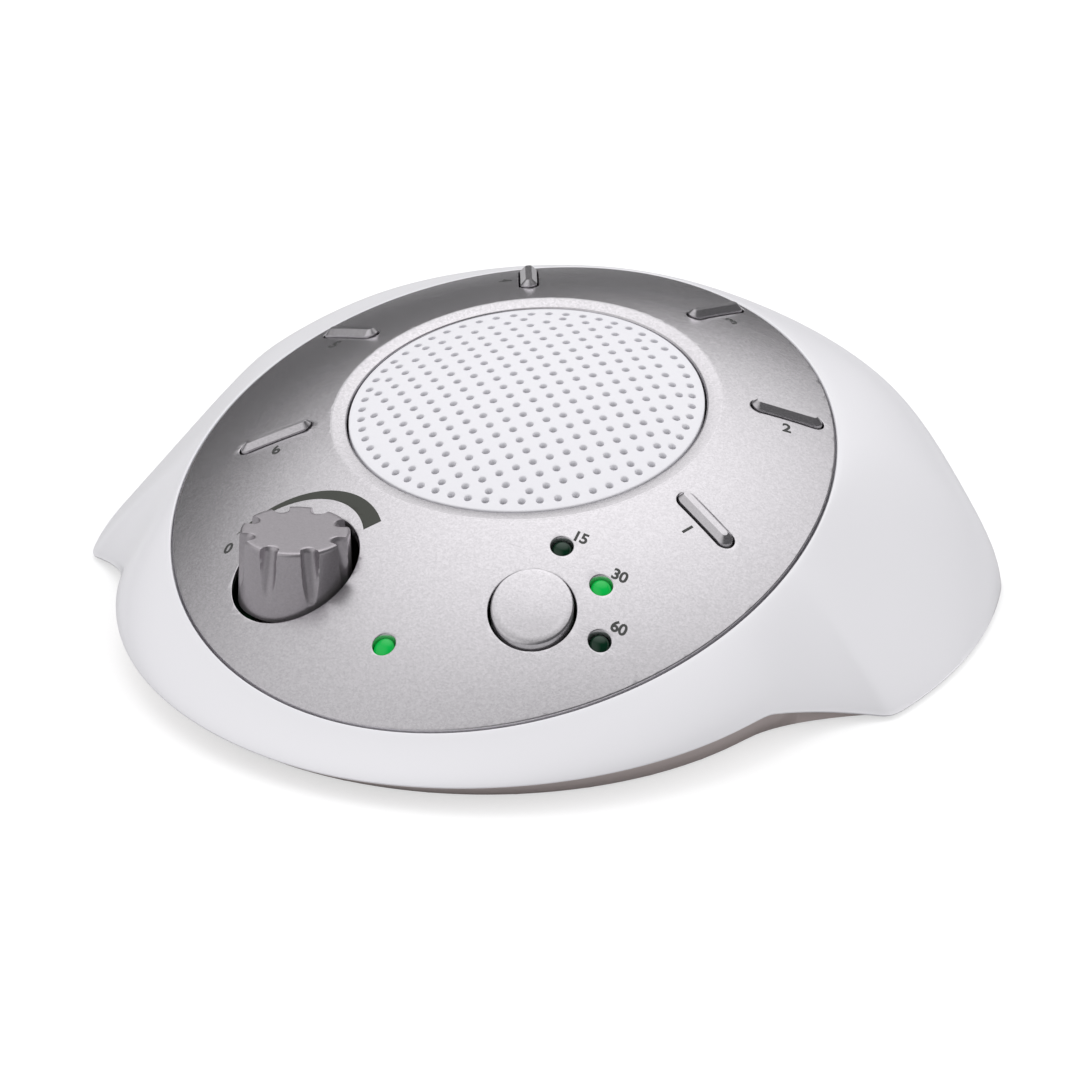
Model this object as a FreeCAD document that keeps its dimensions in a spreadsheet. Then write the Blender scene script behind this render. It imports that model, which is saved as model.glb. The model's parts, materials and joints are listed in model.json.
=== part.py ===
"""Table-top sound machine with a round speaker, six sound keys, a volume knob and a sleep timer.

Units are millimetres. +Z is up, -Y is the front that the user faces and +X is the user's right.
The origin is on the table under the middle of the machine.
"""
import FreeCAD, Part

import math
import os
from FreeCAD import Placement, Rotation, Vector

doc = FreeCAD.newDocument("sound_machine")

# Driving dimensions. Each size is written once here and has its own cell.
SIZES = {
    "front_radius": 67.3,          # white shell's round front, seen from above
    "front_centre_y": -11.45,
    "front_arc_end": 19.2,         # degrees before the X axis where the wing's hollow starts
    "wing_tip_x": 79.7,
    "wing_tip_y": -13.35,
    "wing_tip_sweep": 28.0,        # degrees
    "hollow_reach": 9.0,           # how far the hollow's curve keeps each end's direction
    "side_radius": 83.25,
    "side_centre_y": 14.85,
    "wing_heel_x": 79.4,
    "wing_heel_y": 45.45,
    "rear_y": 78.75,
    "wall": 2.2,                   # moulded wall of the white shell
    "edge_front": 3.9,             # height of the white shell's lower edge at the front
    "edge_side": 7.4,              # and where the hollow starts
    "edge_ground": 0.6,            # and on the wings
    "dome_top": 44.1,              # top of the dome
    "dome_top_y": 32.5,
    "dome_curve_across": 128.9,    # radius of curvature at the top, left to right
    "dome_curve_along": 155.4,     # and front to back
    "panel_half_width": 58.6,
    "panel_half_depth": 66.8,
    "panel_centre_y": -3.1,
    "panel_thick": 1.8,
    "parting_gap": 0.65,           # wide enough for the shell's straight steps round the oval
    "seat_gap": 0.15,
    "ledge_width": 0.8,
    "ledge_thick": 2.0,
    "speaker_y": 6.85,
    "grille_radius": 32.6,
    "grille_sink": 1.0,
    "grille_curve": 140.9,         # radius of the ball that the grille is part of
    "grille_thick": 2.0,
    "grille_flange": 1.2,
    "grille_gap": 0.1,
    "bezel_width": 2.9,
    "hole_radius": 0.65,
    "hole_pitch": 4.59,
    "hole_field_radius": 28.2,
    "hole_ring_radius": 30.1,
    "hole_ring_count": 58,
    "key_circle_radius": 46.6,
    "key_circle_y": 9.05,
    "key_first_angle": -25.0,
    "key_step_angle": 45.5,
    "key_length": 12.8,
    "key_width": 3.1,
    "key_proud": 1.3,
    "key_slot_gap": 0.35,
    "key_skirt": 1.0,
    "key_skirt_thick": 1.1,
    "key_skirt_short": 0.5,         # the skirt stops this far before the key's ends
    "key_stem_radius": 1.3,
    "key_travel": 0.8,
    "under_gap": 0.4,
    "timer_x": 22.4,
    "timer_y": -42.4,
    "timer_radius": 7.3,
    "timer_proud": 0.9,
    "timer_slot_gap": 0.55,
    "knob_x": -23.1,
    "knob_y": -43.1,
    "knob_radius": 9.8,
    "knob_foot_radius": 10.3,
    "knob_top": 30.8,
    "knob_bottom": 17.2,
    "knob_wall": 1.6,
    "knob_boss_radius": 4.2,
    "knob_well_radius": 11.4,
    "flute_count": 8,
    "flute_radius": 1.5,
    "flute_depth": 1.8,            # at the top, running out to nothing
    "flute_length": 11.0,
    "flute_first_angle": -94.0,
    "shaft_radius": 3.0,
    "pot_radius": 8.0,
    "pot_height": 5.0,
    "bushing_radius": 3.6,
    "bushing_height": 1.2,
    "led_radius": 1.85,
    "led_hole_gap": 0.2,
    "led_flange": 0.35,
    "led_body": 3.4,
    "led_sink": 0.3,
    "led_leg": 0.5,
    "led_pitch": 1.27,
    "power_led_y": -55.9,
    "led_fifteen_x": 22.2,
    "led_fifteen_y": -28.7,
    "led_thirty_x": 31.6,
    "led_thirty_y": -33.1,
    "led_sixty_x": 35.5,
    "led_sixty_y": -43.0,
    "tray_low": 0.4,
    "floor_bottom": 0.9,
    "floor_thick": 2.4,
    "foot_radius": 5.5,
    "foot_sink": 0.8,
    "foot_front_x": 35.0,
    "foot_front_y": -44.0,
    "foot_rear_x": 62.0,
    "foot_rear_y": 36.0,
    "tray_inset": 5.6,             # the grey tray's foot stands in from the white edge
    "tray_lip": 0.7,               # its top edge is set back this far under the white edge
    "tray_lean": 0.2,
    "tray_rim": 0.9,
    "tray_wall": 2.2,
    "tray_gap": 0.1,
    "board_thick": 1.6,
    "main_board_bottom": 9.0,
    "main_board_radius": 49.5,
    "main_board_half": 44.0,
    "main_board_back": -24.0,
    "key_board_bottom": 20.1,
    "key_board_inner": 39.5,
    "key_board_outer": 53.2,
    "key_board_open": 37.0,        # degrees before the X axis where the board ends
    "switch_side": 6.0,
    "switch_height": 3.5,
    "plunger_radius": 1.75,
    "plunger_gap": 0.06,
    "plunger_rise": 1.1,
    "plunger_depth": 1.2,
    "post_radius": 3.0,
    "post_clear": 0.7,
    "screw_radius": 1.2,
    "screw_gap": 0.05,
    "screw_head": 2.6,
    "screw_head_high": 1.4,
    "screw_grip": 8.0,
    "board_screw_grip": 5.0,
    "speaker_tilt": 9.4,           # degrees forward
    "speaker_seat": 34.0,          # height of the speaker flange on its axis
    "speaker_radius": 33.6,
    "speaker_flange": 1.0,
    "cone_radius": 27.5,
    "cone_depth": 9.0,
    "coil_radius": 7.0,
    "basket_thick": 0.8,
    "magnet_radius": 14.0,
    "magnet_height": 5.5,
    "gasket_width": 4.0,
    "speaker_boss": 2.4,
    "speaker_screw_circle": 36.2,
    "speaker_screw_grip": 2.2,
    "flange_room": 0.1,
    "bay_half": 53.0,
    "bay_front": 25.6,
    "bay_rear": 55.8,
    "bay_wall": 1.4,
    "bay_height": 15.2,
    "cell_radius": 7.1,
    "cell_length": 50.3,
    "cell_nub": 2.6,
    "cell_nub_high": 1.0,
    "door_gap": 0.25,
    "door_thick": 1.6,
    "jack_x": 25.0,
    "jack_height": 12.0,
    "jack_radius": 4.4,
    "jack_bore": 3.0,
    "jack_pin": 1.0,
    "jack_depth": 12.0,
    "jack_setback": 6.2,           # the back wall curves forward beside the middle
    "jack_box_wide": 11.0,
    "jack_box_deep": 6.0,
    "jack_gap": 0.3,
}

sheet = doc.addObject("Spreadsheet::Sheet", "Sizes")
for row, (alias, value) in enumerate(SIZES.items(), start=1):
    sheet.set("A%d" % row, alias)
    sheet.set("B%d" % row, str(value))
    sheet.setAlias("B%d" % row, alias)
doc.recompute()


def size(alias):
    """Value of one spreadsheet cell."""
    return float(sheet.get(alias))


def bind(item, **formulas):
    """Tie properties of an object to formulas over the spreadsheet's aliases."""
    for path, formula in formulas.items():
        item.setExpression(path.replace("__", "."), cells(formula))
    return item


def cells(formula):
    """Write Sizes. in front of every alias in a formula."""
    words = []
    word = ""
    for letter in formula + " ":
        if letter.isalnum() or letter == "_":
            word += letter
            continue
        words.append("Sizes." + word if word in SIZES else word)
        words.append(letter)
        word = ""
    return "".join(words).strip()


def place(item, x="0", y="0", z="0"):
    """Tie an object's position to formulas."""
    item.setExpression("Placement.Base.x", cells(x))
    item.setExpression("Placement.Base.y", cells(y))
    item.setExpression("Placement.Base.z", cells(z))
    return item


def cylinder(name, radius, height, x="0", y="0", z="0"):
    """Upright cylinder standing on height z."""
    item = doc.addObject("Part::Cylinder", name)
    bind(item, Radius=radius, Height=height)
    return place(item, x, y, z)


def box(name, length, width, height, x="0", y="0", z="0"):
    """Box with its low corner at x, y, z."""
    item = doc.addObject("Part::Box", name)
    bind(item, Length=length, Width=width, Height=height)
    return place(item, x, y, z)


def feature(name, shape):
    """Object that holds a shape worked out from the spreadsheet."""
    item = doc.addObject("Part::Feature", name)
    item.Shape = shape
    return item


def cut(name, base, *tools):
    """Base without its tools."""
    item = base
    for number, tool in enumerate(tools):
        step = doc.addObject("Part::Cut", name if number == len(tools) - 1 else name + "_cut%d" % number)
        step.Base = item
        step.Tool = tool
        item = step
    return item


def fuse(name, *parts):
    """All the parts joined into one."""
    item = doc.addObject("Part::MultiFuse", name)
    item.Shapes = list(parts)
    item.Refine = True
    return item


def common(name, first, second):
    """What two objects share."""
    item = doc.addObject("Part::MultiCommon", name)
    item.Shapes = [first, second]
    return item


def group(name, parts):
    """Several separate solids in one object."""
    item = doc.addObject("Part::Compound", name)
    item.Links = list(parts)
    return item


pieces = {}


def piece(name, item):
    """Give an object its name as a piece of the machine."""
    item.Label = name
    pieces[name] = item
    return item


# The dome is a paraboloid. Every layer of the panel, keys and grille is cut with it.

def dome_height(x, y, depth=0.0):
    """Height of the dome above the table, lowered by depth."""
    across = x * x / (2 * size("dome_curve_across"))
    along = (y - size("dome_top_y")) ** 2 / (2 * size("dome_curve_along"))
    return size("dome_top") - across - along - depth


def dome_face(depth):
    """The paraboloid as one Bezier patch, lowered by depth."""
    reach_x = size("panel_half_width") * 1.3
    low_y = size("panel_centre_y") - size("panel_half_depth") * 1.15
    high_y = size("panel_centre_y") + size("panel_half_depth") * 1.15
    top_y = size("dome_top_y")
    patch = Part.BezierSurface()
    patch.increase(2, 2)
    for column, (x0, x1) in enumerate([(-reach_x, -reach_x), (-reach_x, reach_x), (reach_x, reach_x)]):
        for row, (y0, y1) in enumerate([(low_y, low_y), (low_y, high_y), (high_y, high_y)]):
            z = size("dome_top") - depth
            z -= x0 * x1 / (2 * size("dome_curve_across"))
            z -= (y0 - top_y) * (y1 - top_y) / (2 * size("dome_curve_along"))
            patch.setPole(column + 1, row + 1, Vector((x0 + x1) / 2, (y0 + y1) / 2, z))
    return patch.toShape()


domes = {}


def under_dome(depth_alias, depth):
    """Solid that fills everything below the dome lowered by depth."""
    if depth_alias not in domes:
        solid = dome_face(depth).extrude(Vector(0, 0, -2 * size("dome_top")))
        domes[depth_alias] = feature("under_dome_" + depth_alias, solid)
    return domes[depth_alias]


def under_plane(name, x, y, depth):
    """Block that fills everything below the plane that touches the dome at x, y, lowered by depth."""
    normal = Vector(x / size("dome_curve_across"), (y - size("dome_top_y")) / size("dome_curve_along"), 1)
    touch = Placement(Vector(x, y, dome_height(x, y, depth)), Rotation(Vector(0, 0, 1), normal))
    item = doc.addObject("Part::Box", name)
    bind(item, Length="2 * dome_top", Width="2 * dome_top", Height="2 * dome_top")
    item.Placement = touch * Placement(Vector(-size("dome_top"), -size("dome_top"), -2 * size("dome_top")), Rotation())
    return item


def button(name, x, y, cap_prism, skirt_prism, proud, foot):
    """Key or button: a cap through the panel, a skirt under the panel and a stem down to its switch."""
    skirt_top = size("panel_thick") + size("under_gap")
    skirt_under = skirt_top + size("key_skirt_thick")
    above = under_plane(name + "_above", x, y, -proud)
    middle = under_plane(name + "_middle", x, y, skirt_top)
    below = under_plane(name + "_below", x, y, skirt_under)
    cap = cut(name + "_cap", common(name + "_cap_top", cap_prism, above), below)
    skirt = cut(name + "_skirt", common(name + "_skirt_top", skirt_prism, middle), below)
    stem_full = cylinder(name + "_stem_full", "key_stem_radius", "dome_top", str(x), str(y), foot)
    stem = common(name + "_stem", stem_full, under_plane(name + "_stem_end", x, y, skirt_under - 0.4))
    return piece(name, fuse(name, cap, skirt, stem))


def layer(name, prism, top_name, top, bottom_name=None, bottom=0.0):
    """Part of a prism between two depths below the dome."""
    below = common(name + "_top", prism, under_dome(top_name, top))
    if bottom_name is None:
        return below
    return cut(name, below, under_dome(bottom_name, bottom))


# Outline of the white shell seen from above, and the height of its lower edge.

def outline_half():
    """Points of the right half outline as (x, y, edge height, place along the outline)."""
    radius = size("front_radius")
    centre = size("front_centre_y")
    end = -math.radians(size("front_arc_end"))
    points = []
    for share in (0, 0.2, 0.4, 0.57, 0.72, 0.86, 1):
        angle = -math.pi / 2 + share * (end + math.pi / 2)
        edge = size("edge_front") + (size("edge_side") - size("edge_front")) * share ** 1.5
        points.append((radius * math.cos(angle), centre + radius * math.sin(angle), edge, share))
    start = Vector(points[-1][0], points[-1][1], 0)
    tip = Vector(size("wing_tip_x"), size("wing_tip_y"), 0)
    sweep = math.radians(size("wing_tip_sweep"))
    first = start + Vector(-math.sin(end), math.cos(end), 0) * size("hollow_reach")
    second = tip - Vector(math.cos(sweep), math.sin(sweep), 0) * size("hollow_reach")
    for share in (0.22, 0.42, 0.6, 0.77, 0.91, 1):
        back = 1 - share
        spot = start * back ** 3 + first * 3 * share * back ** 2 + second * 3 * share ** 2 * back + tip * share ** 3
        edge = size("edge_ground") + (size("edge_side") - size("edge_ground")) * back ** 1.2
        points.append((spot.x, spot.y, edge, 1 + share))
    heel = Vector(size("wing_heel_x"), size("wing_heel_y"), 0)
    hub = Vector(0, size("side_centre_y"), 0)
    tip_radius = (tip - hub).Length
    heel_radius = (heel - hub).Length
    tip_angle = math.atan2(tip.y - hub.y, tip.x)
    heel_angle = math.atan2(heel.y - hub.y, heel.x)
    for share in (0.1, 0.3, 0.5, 0.7, 0.88, 1):
        angle = tip_angle + share * (heel_angle - tip_angle)
        reach = size("side_radius")
        reach += (tip_radius - size("side_radius")) * (1 - share) ** 2
        reach += (heel_radius - size("side_radius")) * share ** 2
        points.append((reach * math.cos(angle), hub.y + reach * math.sin(angle), size("edge_ground"), 2 + share))
    rear = size("rear_y")
    rear_centre = (heel.x ** 2 + heel.y ** 2 - rear ** 2) / (2 * (heel.y - rear))
    rear_radius = rear - rear_centre
    rear_angle = math.atan2(heel.y - rear_centre, heel.x)
    for share in (0.15, 0.36, 0.58, 0.8, 1):
        angle = rear_angle + share * (math.pi / 2 - rear_angle)
        points.append((rear_radius * math.cos(angle), rear_centre + rear_radius * math.sin(angle),
                       size("edge_ground"), 3 + share))
    return points


def blend(value, knots):
    """Straight-line look-up in a list of (position, value)."""
    for (low, first), (high, last) in zip(knots, knots[1:]):
        if value <= high:
            share = max(0.0, (value - low) / (high - low))
            return first + (last - first) * share
    return knots[-1][1]


class Station:
    """One upright section plane of the shell, from the panel's rim out to the shell's lower edge."""

    def __init__(self, x, y, edge, along):
        half_width = size("panel_half_width")
        half_depth = size("panel_half_depth")
        turn = math.atan2((y - size("panel_centre_y")) / half_depth, x / half_width)
        self.rim = Vector(half_width * math.cos(turn), size("panel_centre_y") + half_depth * math.sin(turn), 0)
        self.reach = (Vector(x, y, 0) - self.rim).Length
        self.out = (Vector(x, y, 0) - self.rim).normalize()
        self.edge = edge
        self.along = along
        self.turn = math.degrees(turn)

    def at(self, distance, height):
        """Point at a distance outwards from the rim."""
        spot = self.rim + self.out * distance
        return Vector(spot.x, spot.y, height)

    def dome(self, distance, depth=0.0):
        """Point on the lowered dome at a distance outwards from the rim."""
        spot = self.rim + self.out * distance
        return Vector(spot.x, spot.y, dome_height(spot.x, spot.y, depth))

    def fullness(self):
        """How far the profile follows the dome, and how high it stays before it turns down."""
        follow = blend(self.turn, [(-90, 0.6), (-35, 0.6), (5, 0.1), (50, 0.9), (90, 0.5)])
        shoulder = blend(self.turn, [(-90, 0.46), (-35, 0.46), (5, 0.1), (50, 0.86), (90, 0.68)])
        return follow, shoulder

    def profile(self, inset):
        """Bezier poles of the wall's face, moved in from the outside by inset."""
        follow, shoulder = self.fullness()
        start = self.dome(size("parting_gap"))
        slope = (self.dome(1.0).z - self.dome(0.0).z)
        first_height = start.z + slope * follow * self.reach
        second_height = self.edge + shoulder * (first_height - self.edge)
        lean = blend(self.turn, [(-90, 0.3), (-35, 0.3), (5, 1.2), (90, 0.0)])
        poles = [
            start,
            self.at(follow * self.reach, first_height),
            self.at(self.reach - lean, second_height),
            self.at(self.reach, self.edge),
        ]
        if inset == 0:
            return poles
        drop = size("panel_thick") + size("seat_gap") + size("ledge_thick")
        inner_start = self.dome(-0.5, drop)
        ratio = (self.reach - inset) / self.reach
        return [
            inner_start,
            self.at(follow * self.reach * ratio, first_height - drop * 0.9),
            self.at((self.reach - lean) - inset, second_height - inset * 0.5),
            self.at(self.reach - inset, self.edge),
        ]


def stations():
    """Section planes all the way round, from the rear centre and back to it."""
    right = outline_half()
    left = [(-x, y, edge, along) for x, y, edge, along in right[1:-1]]
    ring = list(reversed(right)) + left
    return [Station(*spot) for spot in ring]


def bezier(poles):
    """Bezier curve as an edge."""
    curve = Part.BezierCurve()
    curve.setPoles(poles)
    return curve.toShape()


def lines(points):
    """Straight edges through the points."""
    return [Part.makeLine(first, second) for first, second in zip(points, points[1:])]


def shell_section(station):
    """Closed section of the white shell with the ledge that carries the panel."""
    outer = station.profile(0)
    inner = station.profile(size("wall"))
    seat = size("panel_thick") + size("seat_gap")
    ledge = -size("ledge_width")
    under = station.dome(ledge, seat + size("ledge_thick"))
    rest = [inner[0], under, station.dome(ledge, seat), station.dome(size("parting_gap"), seat), outer[0]]
    edges = [bezier(outer)]
    edges += lines([outer[3], inner[3]])
    edges += [bezier(list(reversed(inner)))]
    edges += lines(rest)
    return Part.Wire(edges)


def tuck(station):
    """0 where the grey tray shows below the white edge, 1 where it stands inside the white wings."""
    return blend(station.along, [(0, 0), (1.2, 0), (1.45, 1), (4, 1)])


def tray_section(station):
    """Closed section of the grey tray's wall, which carries the white shell's lower edge."""
    foot = size("tray_inset")
    inset = size("tray_lip") + (foot - size("tray_lip")) * tuck(station)
    top = station.edge - size("tray_gap")
    if tuck(station) > 0.5:
        top = size("floor_bottom") + size("floor_thick") + size("tray_rim")
    low = size("tray_low")
    reach = station.reach
    points = [
        station.at(reach - foot, low),
        station.at(reach - inset, top),
        station.at(reach - inset - size("tray_wall"), top),
        station.at(reach - foot - size("tray_wall"), low),
    ]
    return Part.Wire(lines(points + points[:1]))


def tray_foot(station):
    """Point of the floor's outline, within the wall's foot."""
    inset = size("tray_inset") - size("tray_lean") + (size("tray_wall") / 2 + size("tray_lean")) * tuck(station)
    return station.at(station.reach - inset, size("floor_bottom"))


def ring_loft(sections):
    """Solid lofted through closed sections all the way round, straight from each one to the next."""
    solid = Part.makeLoft(sections, True, True, True)
    return solid.reversed() if solid.Volume < 0 else solid


ring = stations()
shell_ring = feature("shell_ring", ring_loft([shell_section(station) for station in ring]))
print("shell ring", shell_ring.Shape.isValid(), round(shell_ring.Shape.Volume))
tray_ring = feature("tray_ring", ring_loft([tray_section(station) for station in ring]))
print("tray ring", tray_ring.Shape.isValid(), round(tray_ring.Shape.Volume))


# Prisms with rounded outlines, used for the panel, the keys and the floor.

def ellipse_prism(name, half_width, half_depth, centre_y):
    """Tall upright prism over an ellipse, from below the table to above the dome."""
    curve = Part.Ellipse(Vector(0, 0, 0), half_depth, half_width)
    solid = Part.Face(Part.Wire(curve.toShape())).extrude(Vector(0, 0, 65))
    item = feature(name, solid)
    item.Placement = Placement(Vector(0, centre_y, -5), Rotation(Vector(0, 0, 1), 90))
    return item


def slot_prism(name, length, width, turn, x, y):
    """Tall upright prism over a slot with round ends, turned about its centre."""
    half = (length - width) / 2
    radius = width / 2
    corners = [Vector(-half, -radius, 0), Vector(half, -radius, 0), Vector(half, radius, 0), Vector(-half, radius, 0)]
    edges = [
        Part.makeLine(corners[0], corners[1]),
        Part.Arc(corners[1], Vector(half + radius, 0, 0), corners[2]).toShape(),
        Part.makeLine(corners[2], corners[3]),
        Part.Arc(corners[3], Vector(-half - radius, 0, 0), corners[0]).toShape(),
    ]
    solid = Part.Face(Part.Wire(edges)).extrude(Vector(0, 0, 60))
    item = feature(name, solid)
    item.Placement = Placement(Vector(x, y, 0), Rotation(Vector(0, 0, 1), turn))
    return item


def turned(name, profile):
    """Body turned about Z. The profile is a closed list of (radius, height) formulas."""
    body = doc.addObject("PartDesign::Body", name)
    sketch = body.newObject("Sketcher::SketchObject", name + "_profile")
    plane = [item for item in body.Origin.OriginFeatures if item.Role == "XZ_Plane"][0]
    sketch.AttachmentSupport = [(plane, "")]
    sketch.MapMode = "FlatFace"
    values = [(value_of(radius), value_of(height)) for radius, height in profile]
    count = len(values)
    for number in range(count):
        first = values[number]
        last = values[(number + 1) % count]
        sketch.addGeometry(Part.LineSegment(Vector(first[0], first[1], 0), Vector(last[0], last[1], 0)), False)
    for number in range(count):
        sketch.addConstraint(joint_constraint(number, (number + 1) % count))
    for number, (radius, height) in enumerate(profile):
        for kind, formula, value in (("DistanceX", radius, values[number][0]), ("DistanceY", height, values[number][1])):
            index = sketch.addConstraint(distance_constraint(kind, number, value))
            sketch.setExpression("Constraints[%d]" % index, cells(formula))
    turn = body.newObject("PartDesign::Revolution", name + "_turn")
    turn.Profile = sketch
    turn.ReferenceAxis = (sketch, ["V_Axis"])
    turn.Angle = 360
    return body


def joint_constraint(first, last):
    """End of one sketch line on the start of the next."""
    import Sketcher
    return Sketcher.Constraint("Coincident", first, 2, last, 1)


def distance_constraint(kind, number, value):
    """Signed distance of a line's start from the sketch's origin."""
    import Sketcher
    return Sketcher.Constraint(kind, -1, 1, number, 1, value)


def value_of(formula):
    """Number that a formula over the aliases has now."""
    probe = doc.getObject("Probe") or doc.addObject("App::FeaturePython", "Probe")
    if not hasattr(probe, "Answer"):
        probe.addProperty("App::PropertyFloat", "Answer")
    probe.setExpression("Answer", cells(formula))
    probe.recompute()
    return probe.Answer


def lay_along_y(item, degrees):
    """Lay an upright body down by turning it about the X axis."""
    item.setExpression("Placement.Rotation.Angle", degrees)
    item.setExpression("Placement.Rotation.Axis.x", "1")
    item.setExpression("Placement.Rotation.Axis.y", "0")
    item.setExpression("Placement.Rotation.Axis.z", "0")


def on_speaker(item, z="0"):
    """Tilt an object and stand it on the speaker's axis, z along that axis from the flange's seat."""
    tilt = size("speaker_tilt")
    item.Placement = Placement(Vector(0, size("speaker_y"), size("speaker_seat")), Rotation(Vector(1, 0, 0), tilt))
    return item


# Sound keys lie along the spokes of a circle behind the speaker

keys_at = []
for number in range(3):
    keys_at.append(size("key_first_angle") + number * size("key_step_angle"))
keys_at += [180 - angle for angle in reversed(keys_at)]


def key_slot(name, angle, longer, wider):
    """Upright prism over one key, longer and wider than the key by these amounts at each side."""
    reach = size("key_circle_radius")
    x = reach * math.cos(math.radians(angle))
    y = size("key_circle_y") + reach * math.sin(math.radians(angle))
    return slot_prism(name, size("key_length") + 2 * longer, size("key_width") + 2 * wider, angle, x, y)


# White shell and grey tray

floor_top = "floor_bottom + floor_thick"
half_width = size("panel_half_width")
half_depth = size("panel_half_depth")
seat = size("panel_thick") + size("seat_gap")

CASE_POSTS = [
    ("(panel_half_width - 3.2) * cos(-38)", "panel_centre_y + (panel_half_depth - 3.2) * sin(-38)"),
    ("-(panel_half_width - 3.2) * cos(-38)", "panel_centre_y + (panel_half_depth - 3.2) * sin(-38)"),
    ("(panel_half_width - 3.2) * cos(20)", "panel_centre_y + (panel_half_depth - 3.2) * sin(20)"),
    ("-(panel_half_width - 3.2) * cos(20)", "panel_centre_y + (panel_half_depth - 3.2) * sin(20)"),
    ("0", "panel_centre_y + panel_half_depth - 3.2"),
]
posts = []
post_holes = []
screws = []
screw_holes = []
for number, (x, y) in enumerate(CASE_POSTS, start=1):
    foot = "floor_bottom + floor_thick + 1"
    shaft = cylinder("case_post_%d" % number, "post_radius", "dome_top", x, y, foot)
    posts.append(common("case_post_cut_%d" % number, shaft, under_dome("ledge_inside", seat + 0.4)))
    post_holes.append(cylinder("case_post_hole_%d" % number, "screw_radius + screw_gap", "screw_grip + 1", x, y, foot))
    head_top = "floor_bottom + 0.2 + screw_head_high"
    head = cylinder("case_screw_head_%d" % number, "screw_head", "screw_head_high", x, y, "floor_bottom + 0.2")
    shank = cylinder("case_screw_shank_%d" % number, "screw_radius",
                     "floor_thick + 1 + screw_grip - 0.2 - screw_head_high", x, y, head_top)
    screws.append(fuse("case_screw_%d" % number, head, shank))
    pocket = cylinder("case_screw_pocket_%d" % number, "screw_head + 0.2", "0.2 + screw_head_high", x, y, "floor_bottom")
    passage = cylinder("case_screw_hole_%d" % number, "screw_radius + screw_gap", "floor_thick + 2", x, y, "floor_bottom")
    screw_holes += [pocket, passage]

jack_passage = cylinder("jack_passage", "jack_radius + jack_gap", "jack_depth * 2")
bind(jack_passage, Placement__Base__x="jack_x", Placement__Base__y="rear_y + 3", Placement__Base__z="jack_height")
lay_along_y(jack_passage, "90")
shell_solid = fuse("shell_with_posts", shell_ring, *posts)
piece("upper_housing", cut("upper_housing", shell_solid, *post_holes, jack_passage))

tray_outline = [tray_foot(station) for station in ring]
floor_face = Part.Face(Part.makePolygon(tray_outline + tray_outline[:1]))
floor = feature("tray_floor", floor_face.extrude(Vector(0, 0, size("floor_thick"))))
pads = []
for number, (x, y) in enumerate(CASE_POSTS, start=1):
    pads.append(cylinder("case_pad_%d" % number, "post_radius + 1.2", "floor_thick + 1", x, y, "floor_bottom"))

MAIN_POSTS = [("38", "-30"), ("-38", "-30"), ("13", "-55"), ("-13", "-55")]
KEY_POSTS = [(-2.5, 50.3), (182.5, 50.3), (-33.0, 50.3), (213.0, 50.3)]
board_screws = []
board_holes = []
main_posts = []
for number, (x, y) in enumerate(MAIN_POSTS, start=1):
    stand = cylinder("main_post_%d" % number, "post_radius", "main_board_bottom - floor_bottom", x, y, "floor_bottom")
    bore = cylinder("main_post_bore_%d" % number, "screw_radius + screw_gap", "board_screw_grip", x, y,
                    "main_board_bottom - board_screw_grip")
    main_posts.append(cut("main_post_cut_%d" % number, stand, bore))
    board_holes.append(cylinder("main_board_hole_%d" % number, "screw_radius + screw_gap", "board_thick", x, y,
                                "main_board_bottom"))
    shank = cylinder("main_screw_shank_%d" % number, "screw_radius", "board_thick + board_screw_grip - 0.3", x, y,
                     "main_board_bottom - board_screw_grip + 0.3")
    head = cylinder("main_screw_head_%d" % number, "screw_head - 0.4", "screw_head_high", x, y,
                    "main_board_bottom + board_thick")
    board_screws.append(fuse("main_screw_%d" % number, shank, head))
key_holes = []
for number, (angle, reach) in enumerate(KEY_POSTS, start=1):
    x = "%s * cos(%s)" % (reach, angle)
    y = "key_circle_y + %s * sin(%s)" % (reach, angle)
    stand = cylinder("key_post_%d" % number, "post_radius - 0.4", "key_board_bottom - floor_bottom", x, y, "floor_bottom")
    bore = cylinder("key_post_bore_%d" % number, "screw_radius + screw_gap", "board_screw_grip", x, y,
                    "key_board_bottom - board_screw_grip")
    main_posts.append(cut("key_post_cut_%d" % number, stand, bore))
    key_holes.append(cylinder("key_board_hole_%d" % number, "screw_radius + screw_gap", "board_thick", x, y,
                              "key_board_bottom"))
    shank = cylinder("key_screw_shank_%d" % number, "screw_radius", "board_thick + board_screw_grip - 0.3", x, y,
                     "key_board_bottom - board_screw_grip + 0.3")
    head = cylinder("key_screw_head_%d" % number, "screw_head - 0.4", "screw_head_high", x, y,
                    "key_board_bottom + board_thick")
    board_screws.append(fuse("key_screw_%d" % number, shank, head))

# Battery bay: an open box in the tray with a divider between the two rows of cells

bay_outer = box("bay_outer", "2 * (bay_half + bay_wall)", "bay_rear - bay_front + 2 * bay_wall",
                "bay_height + floor_thick + bay_wall", "-bay_half - bay_wall", "bay_front - bay_wall", "floor_bottom")
bay_inner = box("bay_inner", "2 * bay_half", "bay_rear - bay_front", "bay_height + floor_thick", "-bay_half",
                "bay_front", "floor_bottom")
feet = []
foot_pockets = []
FEET = [("foot_front_x", "foot_front_y"), ("-foot_front_x", "foot_front_y"), ("foot_rear_x", "foot_rear_y"),
        ("-foot_rear_x", "foot_rear_y")]
for number, (x, y) in enumerate(FEET, start=1):
    feet.append(cylinder("foot_%d" % number, "foot_radius", "floor_bottom + foot_sink", x, y, "0"))
    foot_pockets.append(cylinder("foot_pocket_%d" % number, "foot_radius", "foot_sink", x, y, "floor_bottom"))
tray = fuse("tray_blank", tray_ring, floor, bay_outer, *pads, *main_posts)
tray.Refine = False
tray_cuts = group("tray_cuts", [bay_inner] + foot_pockets)
pocket_cuts = group("pocket_cuts", screw_holes[0::2])
passage_cuts = group("passage_cuts", screw_holes[1::2])
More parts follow.
